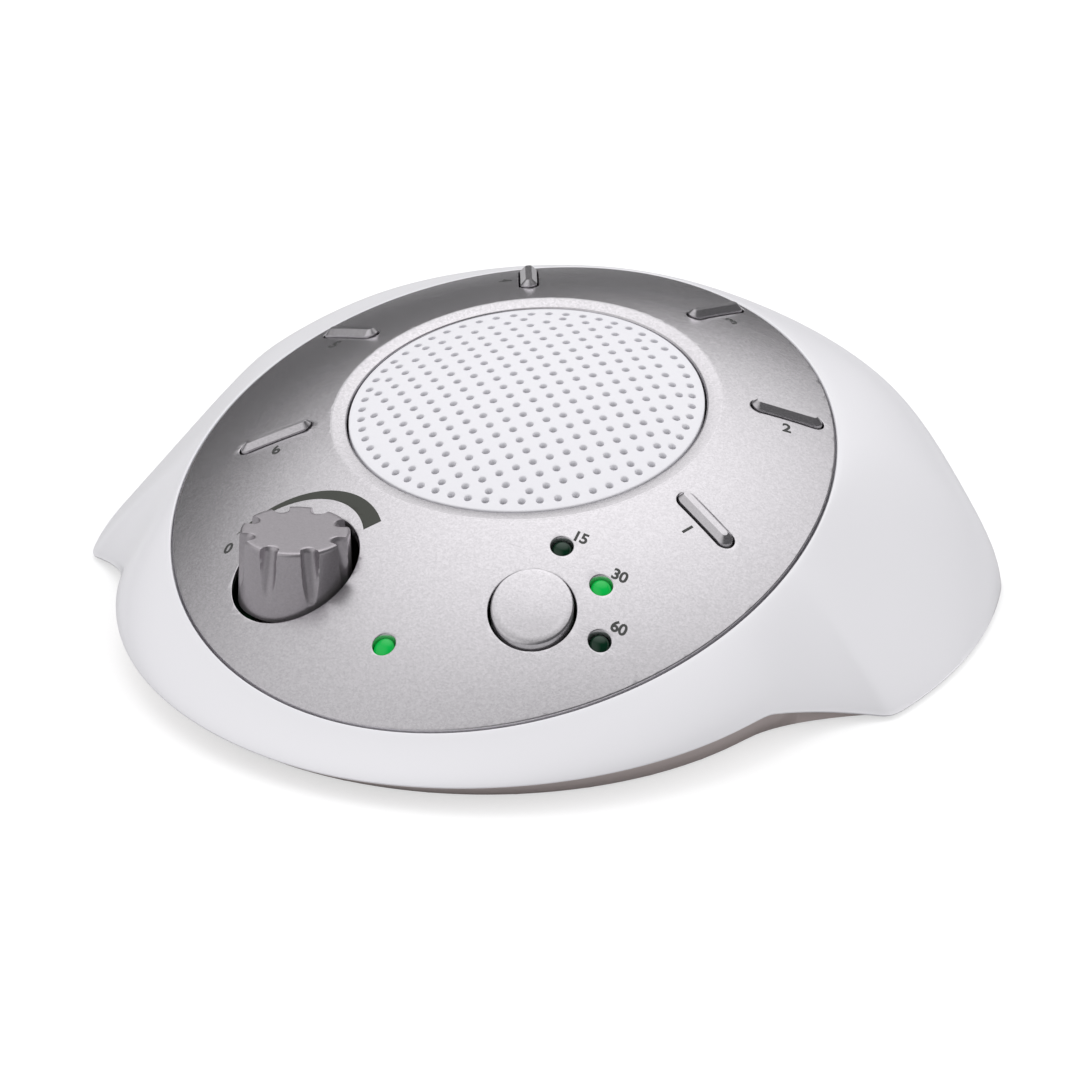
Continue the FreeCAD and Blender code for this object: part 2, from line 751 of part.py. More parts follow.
piece("lower_housing", cut("lower_housing", tray, tray_cuts, pocket_cuts, passage_cuts))
piece("rubber_feet", group("rubber_feet", feet))
piece("case_screws", group("case_screws", screws))
piece("board_screws", group("board_screws", board_screws))

piece("battery_door", box("battery_door", "2 * (bay_half - door_gap)", "bay_rear - bay_front - 2 * door_gap",
                          "door_thick", "-bay_half + door_gap", "bay_front + door_gap", "floor_bottom"))
cells_made = []
contacts = []
for row_number, row_y in enumerate(("bay_front + bay_wall + cell_radius - 0.9", "bay_rear - bay_wall - cell_radius + 0.9")):
    for side_number, side in enumerate((-1, 1)):
        name = "cell_%d_%d" % (row_number, side_number)
        low_x = "-cell_length - 0.9" if side < 0 else "0.9 - cell_nub_high + 0.1"
        can = cylinder(name + "_can", "cell_radius", "cell_length - cell_nub_high")
        nub = cylinder(name + "_nub", "cell_nub", "cell_nub_high")
        bind(can, Placement__Base__x=low_x, Placement__Base__y=row_y,
             Placement__Base__z="floor_bottom + floor_thick + cell_radius + 0.3")
        bind(nub, Placement__Base__x=low_x + " + cell_length - cell_nub_high", Placement__Base__y=row_y,
             Placement__Base__z="floor_bottom + floor_thick + cell_radius + 0.3")
        for item in (can, nub):
            item.setExpression("Placement.Rotation.Angle", "90")
            item.setExpression("Placement.Rotation.Axis.x", "0")
            item.setExpression("Placement.Rotation.Axis.y", "1")
            item.setExpression("Placement.Rotation.Axis.z", "0")
        cells_made.append(fuse(name, can, nub))
piece("battery_cells", group("battery_cells", cells_made))


# Contacts stand at both ends of the bay and touch the cells' ends

bay_middle = "floor_bottom + floor_thick + cell_radius + 0.3"
for row_number, row_y in enumerate(("bay_front + bay_wall + cell_radius - 0.9", "bay_rear - bay_wall - cell_radius + 0.9")):
    right_end = "0.9 - cell_nub_high + 0.1 + cell_length"
    left_end = "-cell_length - 0.9"
    for side_number, (near, far) in enumerate(((right_end, "bay_half"), ("-bay_half", left_end))):
        contacts.append(box("contact_%d_%d" % (row_number, side_number), far + " - (" + near + ")", "cell_radius",
                            "cell_radius", near, row_y + " - cell_radius / 2", bay_middle + " - cell_radius / 2"))
piece("battery_contacts", group("battery_contacts", contacts))

# DC inlet in the back wall

jack_mouth = "rear_y - 6 - jack_setback"
barrel = cylinder("jack_barrel", "jack_radius", "jack_depth")
bore = cylinder("jack_socket", "jack_bore", "jack_depth - 1")
pin = cylinder("jack_centre", "jack_pin", "jack_depth - 1.5")
for item in (barrel, bore, pin):
    bind(item, Placement__Base__x="jack_x", Placement__Base__z="jack_height",
         Placement__Base__y=jack_mouth + " - 3")
    lay_along_y(item, "-90")
bind(bore, Placement__Base__y=jack_mouth + " - 2")
jack_box = box("jack_box", "jack_box_wide", "jack_box_deep", "jack_box_wide", "jack_x - jack_box_wide / 2",
               jack_mouth + " - 3 - jack_box_deep", "jack_height - jack_box_wide / 2")
jack_blank = fuse("jack_blank", barrel, jack_box)
jack_hollow = cut("jack_hollow", jack_blank, bore)
piece("dc_jack", fuse("dc_jack", jack_hollow, pin))

# Silver control panel with its sunk bezel ring

bore_radius = size("grille_radius") + size("grille_gap")
speaker_y = size("speaker_y")


def bezel_section(angle):
    """Section of the metal that the sunk ring takes away."""
    outer = bore_radius + size("bezel_width")
    direction = Vector(math.cos(angle), math.sin(angle), 0)
    centre = Vector(0, speaker_y, 0)

    def spot(radius, depth):
        place_there = centre + direction * radius
        return Vector(place_there.x, place_there.y, dome_height(place_there.x, place_there.y, depth))

    sink = size("grille_sink")
    middle = bore_radius + size("bezel_width") * 0.45
    points = [spot(outer + 0.6, -0.2), spot(middle, sink * 0.8), spot(bore_radius - 1, sink + 0.1),
              spot(bore_radius - 1, -2), spot(outer + 0.6, -2)]
    return Part.Wire(lines(points + points[:1]))


BEZEL_SECTIONS = 16
bezel_angles = [2 * math.pi * number / BEZEL_SECTIONS for number in range(BEZEL_SECTIONS)]
bezel = feature("bezel_ring", ring_loft([bezel_section(angle) for angle in bezel_angles]))

panel_bore = cylinder("panel_bore", "grille_radius + grille_gap", "60", "0", "speaker_y")
panel_cuts = []
for number, angle in enumerate(keys_at, start=1):
    panel_cuts.append(key_slot("key_slot_%d" % number, angle, size("key_slot_gap"), size("key_slot_gap")))
panel_cuts.append(cylinder("timer_hole", "timer_radius + timer_slot_gap", "60", "timer_x", "timer_y"))
panel_cuts.append(cylinder("knob_well", "knob_well_radius", "60", "knob_x", "knob_y"))
LEDS = {
    "power_led": ("0", "power_led_y"),
    "timer_led_15": ("led_fifteen_x", "led_fifteen_y"),
    "timer_led_30": ("led_thirty_x", "led_thirty_y"),
    "timer_led_60": ("led_sixty_x", "led_sixty_y"),
}
for name, (x, y) in LEDS.items():
    panel_cuts.append(cylinder(name + "_hole", "led_radius + led_hole_gap", "60", x, y))
panel_prism = ellipse_prism("panel_prism", half_width, half_depth, size("panel_centre_y"))
panel_layer = layer("panel_layer", panel_prism, "panel_top", 0.0, "panel_under", size("panel_thick"))
panel_open = cut("panel_open", panel_layer, panel_bore, bezel, group("panel_cuts", panel_cuts))

speaker_bosses = []
speaker_screws = []
flange_room = cylinder("flange_room", "grille_radius + grille_flange + flange_room", "60", "0", "speaker_y")
for number in range(4):
    turn = math.radians(45 + 90 * number)
    x = size("speaker_screw_circle") * math.cos(turn)
    y = size("speaker_screw_circle") * math.sin(turn)
    boss = doc.addObject("Part::Cylinder", "speaker_boss_%d" % (number + 1))
    bind(boss, Radius="speaker_boss", Height="20")
    hole = doc.addObject("Part::Cylinder", "speaker_boss_hole_%d" % (number + 1))
    bind(hole, Radius="screw_radius * 0.7 + screw_gap", Height="speaker_screw_grip + 0.2")
    shank = doc.addObject("Part::Cylinder", "speaker_screw_shank_%d" % (number + 1))
    bind(shank, Radius="screw_radius * 0.7", Height="speaker_screw_grip")
    head = doc.addObject("Part::Cylinder", "speaker_screw_head_%d" % (number + 1))
    bind(head, Radius="screw_head + 0.6", Height="screw_head_high")
    tilt = Placement(Vector(0, speaker_y, size("speaker_seat")), Rotation(Vector(1, 0, 0), size("speaker_tilt")))
    foot = -size("speaker_flange")
    boss.Placement = tilt * Placement(Vector(x, y, foot), Rotation())
    hole.Placement = tilt * Placement(Vector(x, y, foot), Rotation())
    shank.Placement = tilt * Placement(Vector(x, y, foot), Rotation())
    head.Placement = tilt * Placement(Vector(x, y, foot - size("screw_head_high")), Rotation())
    inner = common("speaker_boss_cut_%d" % (number + 1), boss, under_dome("boss_inside", size("panel_thick") - 0.4))
    speaker_bosses.append(cut("speaker_boss_bored_%d" % (number + 1), inner, hole, flange_room))
    speaker_screws.append(fuse("speaker_screw_%d" % (number + 1), shank, head))
piece("control_panel", fuse("control_panel", panel_open, *speaker_bosses))
piece("speaker_screws", group("speaker_screws", speaker_screws))

# Perforated speaker grille: staggered rows of holes and one round row at the edge


def hexagon(x, y, radius):
    """Small six-sided hole as a wire."""
    corners = []
    for number in range(6):
        turn = math.radians(60 * number)
        corners.append(Vector(x + radius * math.cos(turn), y + radius * math.sin(turn), 0))
    return Part.Wire(lines(corners + corners[:1]))


def ball(name, radius):
    """Sphere that touches the dome's curve over the speaker, made smaller to lie under it."""
    item = doc.addObject("Part::Sphere", name)
    bind(item, Radius=radius)
    rise = "dome_top - (speaker_y - dome_top_y) * (speaker_y - dome_top_y) / (2 * dome_curve_along)"
    return place(item, "0", "speaker_y + grille_curve * sin(speaker_tilt)",
                 rise + " - grille_curve * cos(speaker_tilt)")


def hole_places():
    """Centres of the grille's holes, measured from the speaker's axis."""
    pitch = size("hole_pitch")
    field = size("hole_field_radius")
    count = int(field / pitch) + 1
    places = []
    for row in range(-2 * count, 2 * count + 1):
        shift = pitch / 2 if row % 2 else 0.0
        for column in range(-count, count + 1):
            x = column * pitch + shift
            y = row * pitch / 2
            if math.hypot(x, y) <= field:
                places.append((x, y))
    for number in range(int(size("hole_ring_count"))):
        turn = 2 * math.pi * number / size("hole_ring_count")
        places.append((size("hole_ring_radius") * math.cos(turn), size("hole_ring_radius") * math.sin(turn)))
    return places


needles = []
for x, y in hole_places():
    needles.append(Part.Face(hexagon(x, y + speaker_y, size("hole_radius"))).extrude(Vector(0, 0, 60)))
grille_holes = feature("grille_holes", Part.makeCompound(needles))
grille_top = ball("grille_top", "grille_curve - grille_sink")
grille_under = ball("grille_under", "grille_curve - grille_sink - grille_thick")
disc_full = cylinder("grille_disc_full", "grille_radius", "60", "0", "speaker_y")
disc = common("grille_disc", disc_full, grille_top)
rim_outer = cylinder("grille_rim_outer", "grille_radius + grille_flange", "60", "0", "speaker_y")
rim = common("grille_rim", rim_outer, under_dome("grille_flange_top", size("panel_thick") + 0.05))
grille_blank = cut("grille_blank", fuse("grille_joined", disc, rim), grille_under)
piece("speaker_grille", cut("speaker_grille", grille_blank, grille_holes))

# Six sound keys, each with its tact switch and plunger

main_top = "main_board_bottom + board_thick"
key_top = "key_board_bottom + board_thick"
key_switches = []
for number, angle in enumerate(keys_at, start=1):
    name = "sound_key_%d" % number
    x = size("key_circle_radius") * math.cos(math.radians(angle))
    y = size("key_circle_y") + size("key_circle_radius") * math.sin(math.radians(angle))
    x_words = "key_circle_radius * cos(%s)" % angle
    y_words = "key_circle_y + key_circle_radius * sin(%s)" % angle
    cap_prism = key_slot(name + "_cap_prism", angle, 0, 0)
    skirt_prism = key_slot(name + "_skirt_prism", angle, -size("key_skirt_short"), size("key_skirt"))
    button(name, x, y, cap_prism, skirt_prism, size("key_proud"), key_top + " + switch_height + plunger_rise")
    case = box("key_switch_%d" % number, "switch_side", "switch_side", "switch_height",
               x_words + " - switch_side / 2", y_words + " - switch_side / 2", key_top)
    well = cylinder("key_switch_well_%d" % number, "plunger_radius + plunger_gap", "switch_height", x_words, y_words,
                    key_top + " + switch_height - plunger_depth - key_travel - 0.2")
    key_switches.append(cut("key_switch_cut_%d" % number, case, well))
    piece("key_plunger_%d" % number,
          cylinder("key_plunger_%d" % number, "plunger_radius", "plunger_depth + plunger_rise", x_words, y_words,
                   key_top + " + switch_height - plunger_depth"))
piece("key_switches", group("key_switches", key_switches))

# Timer button with its own switch

timer_prism = cylinder("timer_prism", "timer_radius", "60", "timer_x", "timer_y")
timer_skirt_prism = cylinder("timer_skirt_prism", "timer_radius + timer_slot_gap + key_skirt", "60", "timer_x",
                             "timer_y")
button("timer_button", size("timer_x"), size("timer_y"), timer_prism, timer_skirt_prism, size("timer_proud"),
       main_top + " + switch_height + plunger_rise")
timer_case = box("timer_switch_case", "switch_side", "switch_side", "switch_height", "timer_x - switch_side / 2",
                 "timer_y - switch_side / 2", main_top)
timer_well = cylinder("timer_switch_well", "plunger_radius + plunger_gap", "switch_height", "timer_x", "timer_y",
                      main_top + " + switch_height - plunger_depth - key_travel - 0.2")
piece("timer_switch", cut("timer_switch", timer_case, timer_well))
piece("timer_plunger", cylinder("timer_plunger", "plunger_radius", "plunger_depth + plunger_rise", "timer_x",
                                "timer_y", main_top + " + switch_height - plunger_depth"))

# Volume knob on the potentiometer's shaft

knob_blank = turned("knob_blank", [
    ("shaft_radius + screw_gap", "knob_bottom"),
    ("knob_boss_radius", "knob_bottom"),
    ("knob_boss_radius", "knob_top - 2.5"),
    ("knob_radius - knob_wall - 1.6", "knob_top - 2.5"),
    ("knob_foot_radius - knob_wall", "knob_bottom"),
    ("knob_foot_radius", "knob_bottom"),
    ("knob_radius", "knob_top - 0.8"),
    ("knob_radius - 0.8", "knob_top"),
    ("0", "knob_top"),
    ("0", "knob_top - 3.2"),
    ("shaft_radius + screw_gap", "knob_top - 3.2"),
])
place(knob_blank, "knob_x", "knob_y")
flutes = []
lean = math.degrees(math.atan2(size("flute_depth"), size("flute_length")))
for number in range(int(size("flute_count"))):
    turn = size("flute_first_angle") + 360.0 * number / size("flute_count")
    flute = doc.addObject("Part::Cylinder", "flute_%d" % (number + 1))
    bind(flute, Radius="flute_radius", Height="flute_length * 2.2")
    reach = size("knob_radius") - size("flute_depth") + size("flute_radius")
    top = Placement(Vector(size("knob_x"), size("knob_y"), size("knob_top")), Rotation(Vector(0, 0, 1), turn))
    down = Placement(Vector(reach, 0, 0), Rotation(Vector(0, 1, 0), 180 - lean))
    lift = Placement(Vector(0, 0, -size("flute_length") * 0.6), Rotation())
    flute.Placement = top * down * lift
    flutes.append(flute)
piece("volume_knob", cut("volume_knob", knob_blank, group("flutes", flutes)))
shaft_full = cylinder("shaft_full", "shaft_radius", "knob_top - 3.4 - (" + main_top + ") - 1.2", "knob_x", "knob_y",
                      main_top + " + 1.2")
piece("volume_shaft", shaft_full)
pot_case = cylinder("pot_case", "pot_radius", "pot_height", "knob_x", "knob_y", main_top)
pot_neck = cylinder("pot_neck", "bushing_radius + 0.6", "bushing_height", "knob_x", "knob_y",
                    main_top + " + pot_height")
pot_well = cylinder("pot_well", "shaft_radius + plunger_gap", "pot_height + bushing_height", "knob_x", "knob_y",
                    main_top + " + 1.1")
piece("volume_potentiometer", cut("volume_potentiometer", fuse("pot_blank", pot_case, pot_neck), pot_well))

# LEDs, each on a spacer that stands on the main board

spacers = []
for name, (x, y) in LEDS.items():
    spot = (value_of(x), value_of(y))
    top = dome_height(spot[0], spot[1], size("led_sink"))
    base = top - size("led_body") - size("led_radius")
    lens = turned(name + "_lens", [
        ("0", str(base)),
        ("led_radius + led_flange", str(base)),
        ("led_radius + led_flange", "%s + 0.8" % base),
        ("led_radius", "%s + 0.8" % base),
        ("led_radius", "%s + led_body" % base),
        ("led_radius * 0.87", "%s + led_body + led_radius * 0.5" % base),
        ("led_radius * 0.5", "%s + led_body + led_radius * 0.87" % base),
        ("0", "%s + led_body + led_radius" % base),
    ])
    place(lens, x, y)
    leg_long = "%s - (%s)" % (base, main_top)
    legs = [box(name + "_leg_%d" % number, "led_leg", "led_leg", leg_long,
                "%s + (%s) * led_pitch - led_leg / 2" % (x, side), y + " - led_leg / 2", main_top)
            for number, side in enumerate((-1, 1))]
    piece(name, fuse(name, lens, *legs))
    tube = cylinder(name + "_spacer_full", "led_radius + led_flange", leg_long, x, y, main_top)
    tube_bore = box(name + "_spacer_bore", "2 * led_pitch + led_leg + 0.1", "led_leg + 0.1", leg_long,
                    x + " - led_pitch - led_leg / 2 - 0.05", y + " - led_leg / 2 - 0.05", main_top)
    spacers.append(cut(name + "_spacer", tube, tube_bore))
piece("led_spacers", group("led_spacers", spacers))

# Circuit boards

board_disc = cylinder("main_board_disc", "main_board_radius", "board_thick", "0", "front_centre_y",
                      "main_board_bottom")
board_window = box("main_board_window", "2 * main_board_half", "main_board_radius + main_board_back - front_centre_y",
                   "board_thick", "-main_board_half", "front_centre_y - main_board_radius", "main_board_bottom")
main_blank = common("main_board_blank", board_disc, board_window)
piece("main_board", cut("main_board", main_blank, group("main_board_holes", board_holes)))

ring_outer = cylinder("key_board_disc", "key_board_outer", "board_thick", "0", "key_circle_y", "key_board_bottom")
ring_inner = cylinder("key_board_middle", "key_board_inner", "board_thick", "0", "key_circle_y", "key_board_bottom")
mouth = []
open_angle = math.radians(size("key_board_open"))
far = 2 * size("key_board_outer")
centre = Vector(0, size("key_circle_y"), size("key_board_bottom"))
corner = Vector(far * math.cos(open_angle), -far * math.sin(open_angle), 0)
other = Vector(-corner.x, corner.y, 0)
mouth_face = Part.Face(Part.makePolygon([centre, centre + corner, centre + other, centre]))
mouth_solid = feature("key_board_mouth", mouth_face.extrude(Vector(0, 0, size("board_thick"))))
notches = []
for number, (x, y) in enumerate(CASE_POSTS[2:], start=1):
    notches.append(cylinder("key_board_notch_%d" % number, "post_radius + post_clear", "board_thick", x, y,
                            "key_board_bottom"))
key_blank = cut("key_board_blank", ring_outer, ring_inner, mouth_solid)
piece("key_board", cut("key_board", key_blank, group("key_board_cuts", key_holes + notches)))

# Loudspeaker on its tilted axis, heights measured from the top of its flange

frame_profile = [
    ("cone_radius + 0.6", "0"),
    ("speaker_radius", "0"),
    ("speaker_radius", "-speaker_flange"),
    ("cone_radius + 2.4", "-speaker_flange"),
    ("magnet_radius - 0.5", "-cone_depth - 2"),
    ("coil_radius + 1", "-cone_depth - 2"),
    ("coil_radius + 1", "-cone_depth - 2 + basket_thick"),
    ("magnet_radius - 0.7", "-cone_depth - 2 + basket_thick"),
    ("cone_radius + 1.3", "-speaker_flange"),
]
piece("speaker_frame", on_speaker(turned("speaker_frame", frame_profile)))
cone_profile = [
    ("coil_radius", "-cone_depth"),
    ("cone_radius - 3.2", "-1.6"),
    ("cone_radius - 1.6", "-0.6"),
    ("cone_radius + 1.02", "-0.6"),
    ("cone_radius + 1.23", "-0.9"),
    ("cone_radius - 1.6", "-1.0"),
    ("cone_radius - 3.2", "-2.1"),
    ("coil_radius + 0.3", "-cone_depth - 1.0"),
    ("coil_radius", "-cone_depth - 1.0"),
]
piece("speaker_cone", on_speaker(turned("speaker_cone", cone_profile)))
cap_profile = [
    ("0", "-cone_depth + 2.6"),
    ("coil_radius * 0.6", "-cone_depth + 1.9"),
    ("coil_radius", "-cone_depth"),
    ("coil_radius", "-cone_depth - 0.5"),
    ("coil_radius * 0.6", "-cone_depth + 1.3"),
    ("0", "-cone_depth + 2.0"),
]
piece("speaker_dust_cap", on_speaker(turned("speaker_dust_cap", cap_profile)))
magnet_profile = [
    ("0", "-cone_depth - 2"),
    ("magnet_radius", "-cone_depth - 2"),
    ("magnet_radius", "-cone_depth - 2 - magnet_height"),
    ("0", "-cone_depth - 2 - magnet_height"),
]
piece("speaker_magnet", on_speaker(turned("speaker_magnet", magnet_profile)))
gasket_tube = on_speaker(turned("gasket_tube", [
    ("speaker_radius - gasket_width", "0"),
    ("speaker_radius", "0"),
    ("speaker_radius", "10"),
    ("speaker_radius - gasket_width", "10"),
]))
piece("speaker_gasket", common("speaker_gasket", gasket_tube, grille_under))

doc.recompute()
faults = [item.Name for item in doc.Objects if "Invalid" in item.State or "Error" in item.State]
for name, item in pieces.items():
    shape = item.Shape
    if shape.isNull() or not shape.isValid() or not shape.Solids:
        faults.append(name)
if faults:
    raise SystemExit("failed: " + ", ".join(faults))

os.makedirs("parts", exist_ok=True)
for name, item in pieces.items():
    item.Shape.exportStep("parts/%s.step" % name)
    bounds = item.Shape.BoundBox
    print("%-22s solids %d faces %d volume %.0f z %.2f to %.2f" % (
        name, len(item.Shape.Solids), len(item.Shape.Faces), item.Shape.Volume, bounds.ZMin, bounds.ZMax))
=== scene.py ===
# %% [markdown]
# # A bedside sound machine
# The engineering model already stands in the scene as a fixed frame. In this lesson we dress it: a white
# moulded shell, a silver panel with rounded holes, a white grille, metallic keys and a fluted knob. The
# model's own inner parts stay, and only get better finishes.

import json
import math

import bpy
from mathutils import Matrix, Vector


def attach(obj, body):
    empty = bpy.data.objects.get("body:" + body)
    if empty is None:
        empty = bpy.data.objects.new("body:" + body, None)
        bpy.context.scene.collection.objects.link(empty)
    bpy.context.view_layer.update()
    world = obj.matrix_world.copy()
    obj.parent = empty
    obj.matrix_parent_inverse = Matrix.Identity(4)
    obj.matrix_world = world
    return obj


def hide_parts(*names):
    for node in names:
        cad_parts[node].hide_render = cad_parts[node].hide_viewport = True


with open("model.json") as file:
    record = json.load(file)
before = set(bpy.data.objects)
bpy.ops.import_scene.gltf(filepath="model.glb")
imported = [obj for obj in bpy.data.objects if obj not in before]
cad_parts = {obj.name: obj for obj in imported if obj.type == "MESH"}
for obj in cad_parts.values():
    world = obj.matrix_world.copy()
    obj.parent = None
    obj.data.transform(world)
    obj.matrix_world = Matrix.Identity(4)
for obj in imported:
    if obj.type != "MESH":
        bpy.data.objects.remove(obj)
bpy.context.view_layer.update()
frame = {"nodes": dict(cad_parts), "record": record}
MM = 0.001

# %% [markdown]
# ## The dome
# Panel, grille, keys and prints all lie on one shallow dome. It is a paraboloid, so its height is a plain
# formula of x and y. Every piece below is made flat or round first and then lifted onto it.

# %% Dome and the tools that bend pieces onto it
DOME_TOP = 44.1
DOME_TOP_Y = 32.5
CURVE_ACROSS = 128.9
CURVE_ALONG = 155.4


def dome(x, y, depth=0.0):
    """Height in millimetres of the dome over x, y, lowered by depth."""
    across = x * x / (2 * CURVE_ACROSS)
    along = (y - DOME_TOP_Y) ** 2 / (2 * CURVE_ALONG)
    return DOME_TOP - across - along - depth


def only(piece):
    """Make a piece the only selected object."""
    bpy.ops.object.select_all(action="DESELECT")
    piece.select_set(True)
    bpy.context.view_layer.objects.active = piece


def smooth(piece, degrees=35):
    """Smooth shading, with creases where faces meet at more than this angle."""
    only(piece)
    bpy.ops.object.shade_smooth_by_angle(angle=math.radians(degrees))


def even_normals(piece):
    """Let large faces rule the shading, so that flat parts stay flat beside small rounded edges."""
    only(piece)
    bpy.ops.object.modifier_add(type="WEIGHTED_NORMAL")
    bpy.context.object.modifiers[-1].keep_sharp = True
    bpy.ops.object.modifier_apply(modifier=bpy.context.object.modifiers[-1].name)


def weld(piece, gap):
    """Merge points that lie together and turn all faces outwards."""
    only(piece)
    bpy.ops.object.mode_set(mode="EDIT")
    bpy.ops.mesh.select_all(action="SELECT")
    bpy.ops.mesh.remove_doubles(threshold=gap)
    bpy.ops.mesh.normals_make_consistent(inside=False)
    bpy.ops.object.mode_set(mode="OBJECT")


def bent_sheet(name, sections):
    """Grid primitive bent through a list of sections, each a list of points in millimetres."""
    columns = len(sections) - 1
    rows = len(sections[0]) - 1
    bpy.ops.object.select_all(action="DESELECT")
    bpy.ops.mesh.primitive_grid_add(x_subdivisions=columns, y_subdivisions=rows, size=2)
    sheet = bpy.context.object
    sheet.name = name
    for vertex in sheet.data.vertices:
        column = round((vertex.co.x + 1) / 2 * columns)
        row = round((vertex.co.y + 1) / 2 * rows)
        vertex.co = Vector(sections[column][row]) * MM
    weld(sheet, 0.000004)
    return sheet


def lay_on_dome(piece, top, thick, cell):
    """Cut a flat piece into cells and lift it onto the dome, its upper face at depth top."""
    low = min(vertex.co.z for vertex in piece.data.vertices)
    high = max(vertex.co.z for vertex in piece.data.vertices)
    only(piece)
    bpy.ops.object.mode_set(mode="EDIT")
    for axis in (0, 1):
        reach = [vertex[axis] for vertex in piece.bound_box]
        start = math.floor(min(reach) / cell) * cell + cell * 0.437
        for number in range(int((max(reach) - start) / cell) + 1):
            plane = [0.0, 0.0, 0.0]
            plane[axis] = start + number * cell
            normal = [0.0, 0.0, 0.0]
            normal[axis] = 1.0
            bpy.ops.mesh.select_all(action="SELECT")
            bpy.ops.mesh.bisect(plane_co=plane, plane_no=normal)
    bpy.ops.object.mode_set(mode="OBJECT")
    for vertex in piece.data.vertices:
        x, y, z = vertex.co
        share = (z - low) / (high - low)
        vertex.co = Vector((x, y, dome(x, y, top + thick * (1 - share)))) * MM


def plate(name, outlines, top, thick, edge, cell=3.0, steps=2):
    """Flat curve filled between its outlines, with rounded edges, then laid on the dome."""
    bpy.ops.object.select_all(action="DESELECT")
    bpy.ops.curve.primitive_bezier_circle_add(radius=1)
    flat = bpy.context.object
    flat.name = name
    curve = flat.data
    curve.splines.clear()
    curve.dimensions = "2D"
    curve.fill_mode = "BOTH"
    for outline in outlines:
        spline = curve.splines.new("POLY")
        spline.points.add(len(outline) - 1)
        for point, (x, y) in zip(spline.points, outline):
            point.co = (x, y, 0, 1)
        spline.use_cyclic_u = True
    curve.extrude = thick / 2 - edge
    curve.bevel_depth = edge
    curve.bevel_resolution = steps
    curve.offset = -edge
    bpy.ops.object.convert(target="MESH")
    piece = bpy.context.object
    weld(piece, 0.0005)
    lay_on_dome(piece, top, thick, cell)
    weld(piece, 0.000001)
    smooth(piece, 40)
    even_normals(piece)
    return piece


def circle(x, y, radius, steps=96):
    """Points round a circle."""
    turns = [2 * math.pi * number / steps for number in range(steps)]
    return [(x + radius * math.cos(turn), y + radius * math.sin(turn)) for turn in turns]


def slot(x, y, length, width, degrees, steps=16):
    """Points round a slot with round ends, turned about its middle."""
    half = (length - width) / 2
    spoke = math.radians(degrees)
    points = []
    for side in (1, -1):
        for number in range(steps + 1):
            turn = -math.pi / 2 + math.pi * number / steps
            along = side * (half + width / 2 * math.cos(turn))
            across = side * width / 2 * math.sin(turn)
            points.append((x + along * math.cos(spoke) - across * math.sin(spoke),
                           y + along * math.sin(spoke) + across * math.cos(spoke)))
    return points


# %% [markdown]
# ## Finishes
# Two effects are shared by several finishes, so each is a node group. The first is the fine metallic
# flake in the silver paint. The second is the faint grain that every moulded surface has.

# %% Shared shader groups
def add(tree, kind, **settings):
    """New shader node of a kind, with its plain settings such as operation."""
    node = tree.nodes.new("ShaderNode" + kind)
    for name, value in settings.items():
        setattr(node, name, value)
    return node


def new_group(name, inputs):
    """Shader node group with the named number inputs and the outputs Tone and Bump."""
    group = bpy.data.node_groups.new(name, "ShaderNodeTree")
    for label, value in inputs:
        socket = group.interface.new_socket(name=label, in_out="INPUT", socket_type="NodeSocketFloat")
        socket.default_value = value
    group.interface.new_socket(name="Tone", in_out="OUTPUT", socket_type="NodeSocketFloat")
    group.interface.new_socket(name="Bump", in_out="OUTPUT", socket_type="NodeSocketFloat")
    return group, group.nodes.new("NodeGroupInput"), group.nodes.new("NodeGroupOutput")


def flake_group():
    """Sparkle of metallic flakes: small cells, each a little lighter or darker, over a soft mottle."""
    group, inputs, outputs = new_group("metal_flake", [("Scale", 3200.0), ("Contrast", 0.2)])
    links = group.links
    place = add(group, "TexCoord")
    cells = add(group, "TexVoronoi")
    split = add(group, "SeparateColor")
    mottle = add(group, "TexNoise")
    mottle.inputs["Detail"].default_value = 3.0
    slower = add(group, "Math", operation="MULTIPLY")
    slower.inputs[1].default_value = 0.35
    mix = add(group, "Math", operation="ADD")
    centre = add(group, "Math", operation="SUBTRACT")
    centre.inputs[1].default_value = 1.0
    tone = add(group, "Math", operation="MULTIPLY_ADD")
    tone.inputs[2].default_value = 1.0
    links.new(place.outputs["Object"], cells.inputs["Vector"])
    links.new(place.outputs["Object"], mottle.inputs["Vector"])
    links.new(inputs.outputs["Scale"], cells.inputs["Scale"])
    links.new(inputs.outputs["Scale"], slower.inputs[0])
    links.new(slower.outputs[0], mottle.inputs["Scale"])
    links.new(cells.outputs["Color"], split.inputs["Color"])
    links.new(split.outputs["Red"], mix.inputs[0])
    links.new(mottle.outputs["Fac"], mix.inputs[1])
    links.new(mix.outputs[0], centre.inputs[0])
    links.new(centre.outputs[0], tone.inputs[0])
    links.new(inputs.outputs["Contrast"], tone.inputs[1])
    links.new(tone.outputs[0], outputs.inputs["Tone"])
    links.new(split.outputs["Green"], outputs.inputs["Bump"])
    return group


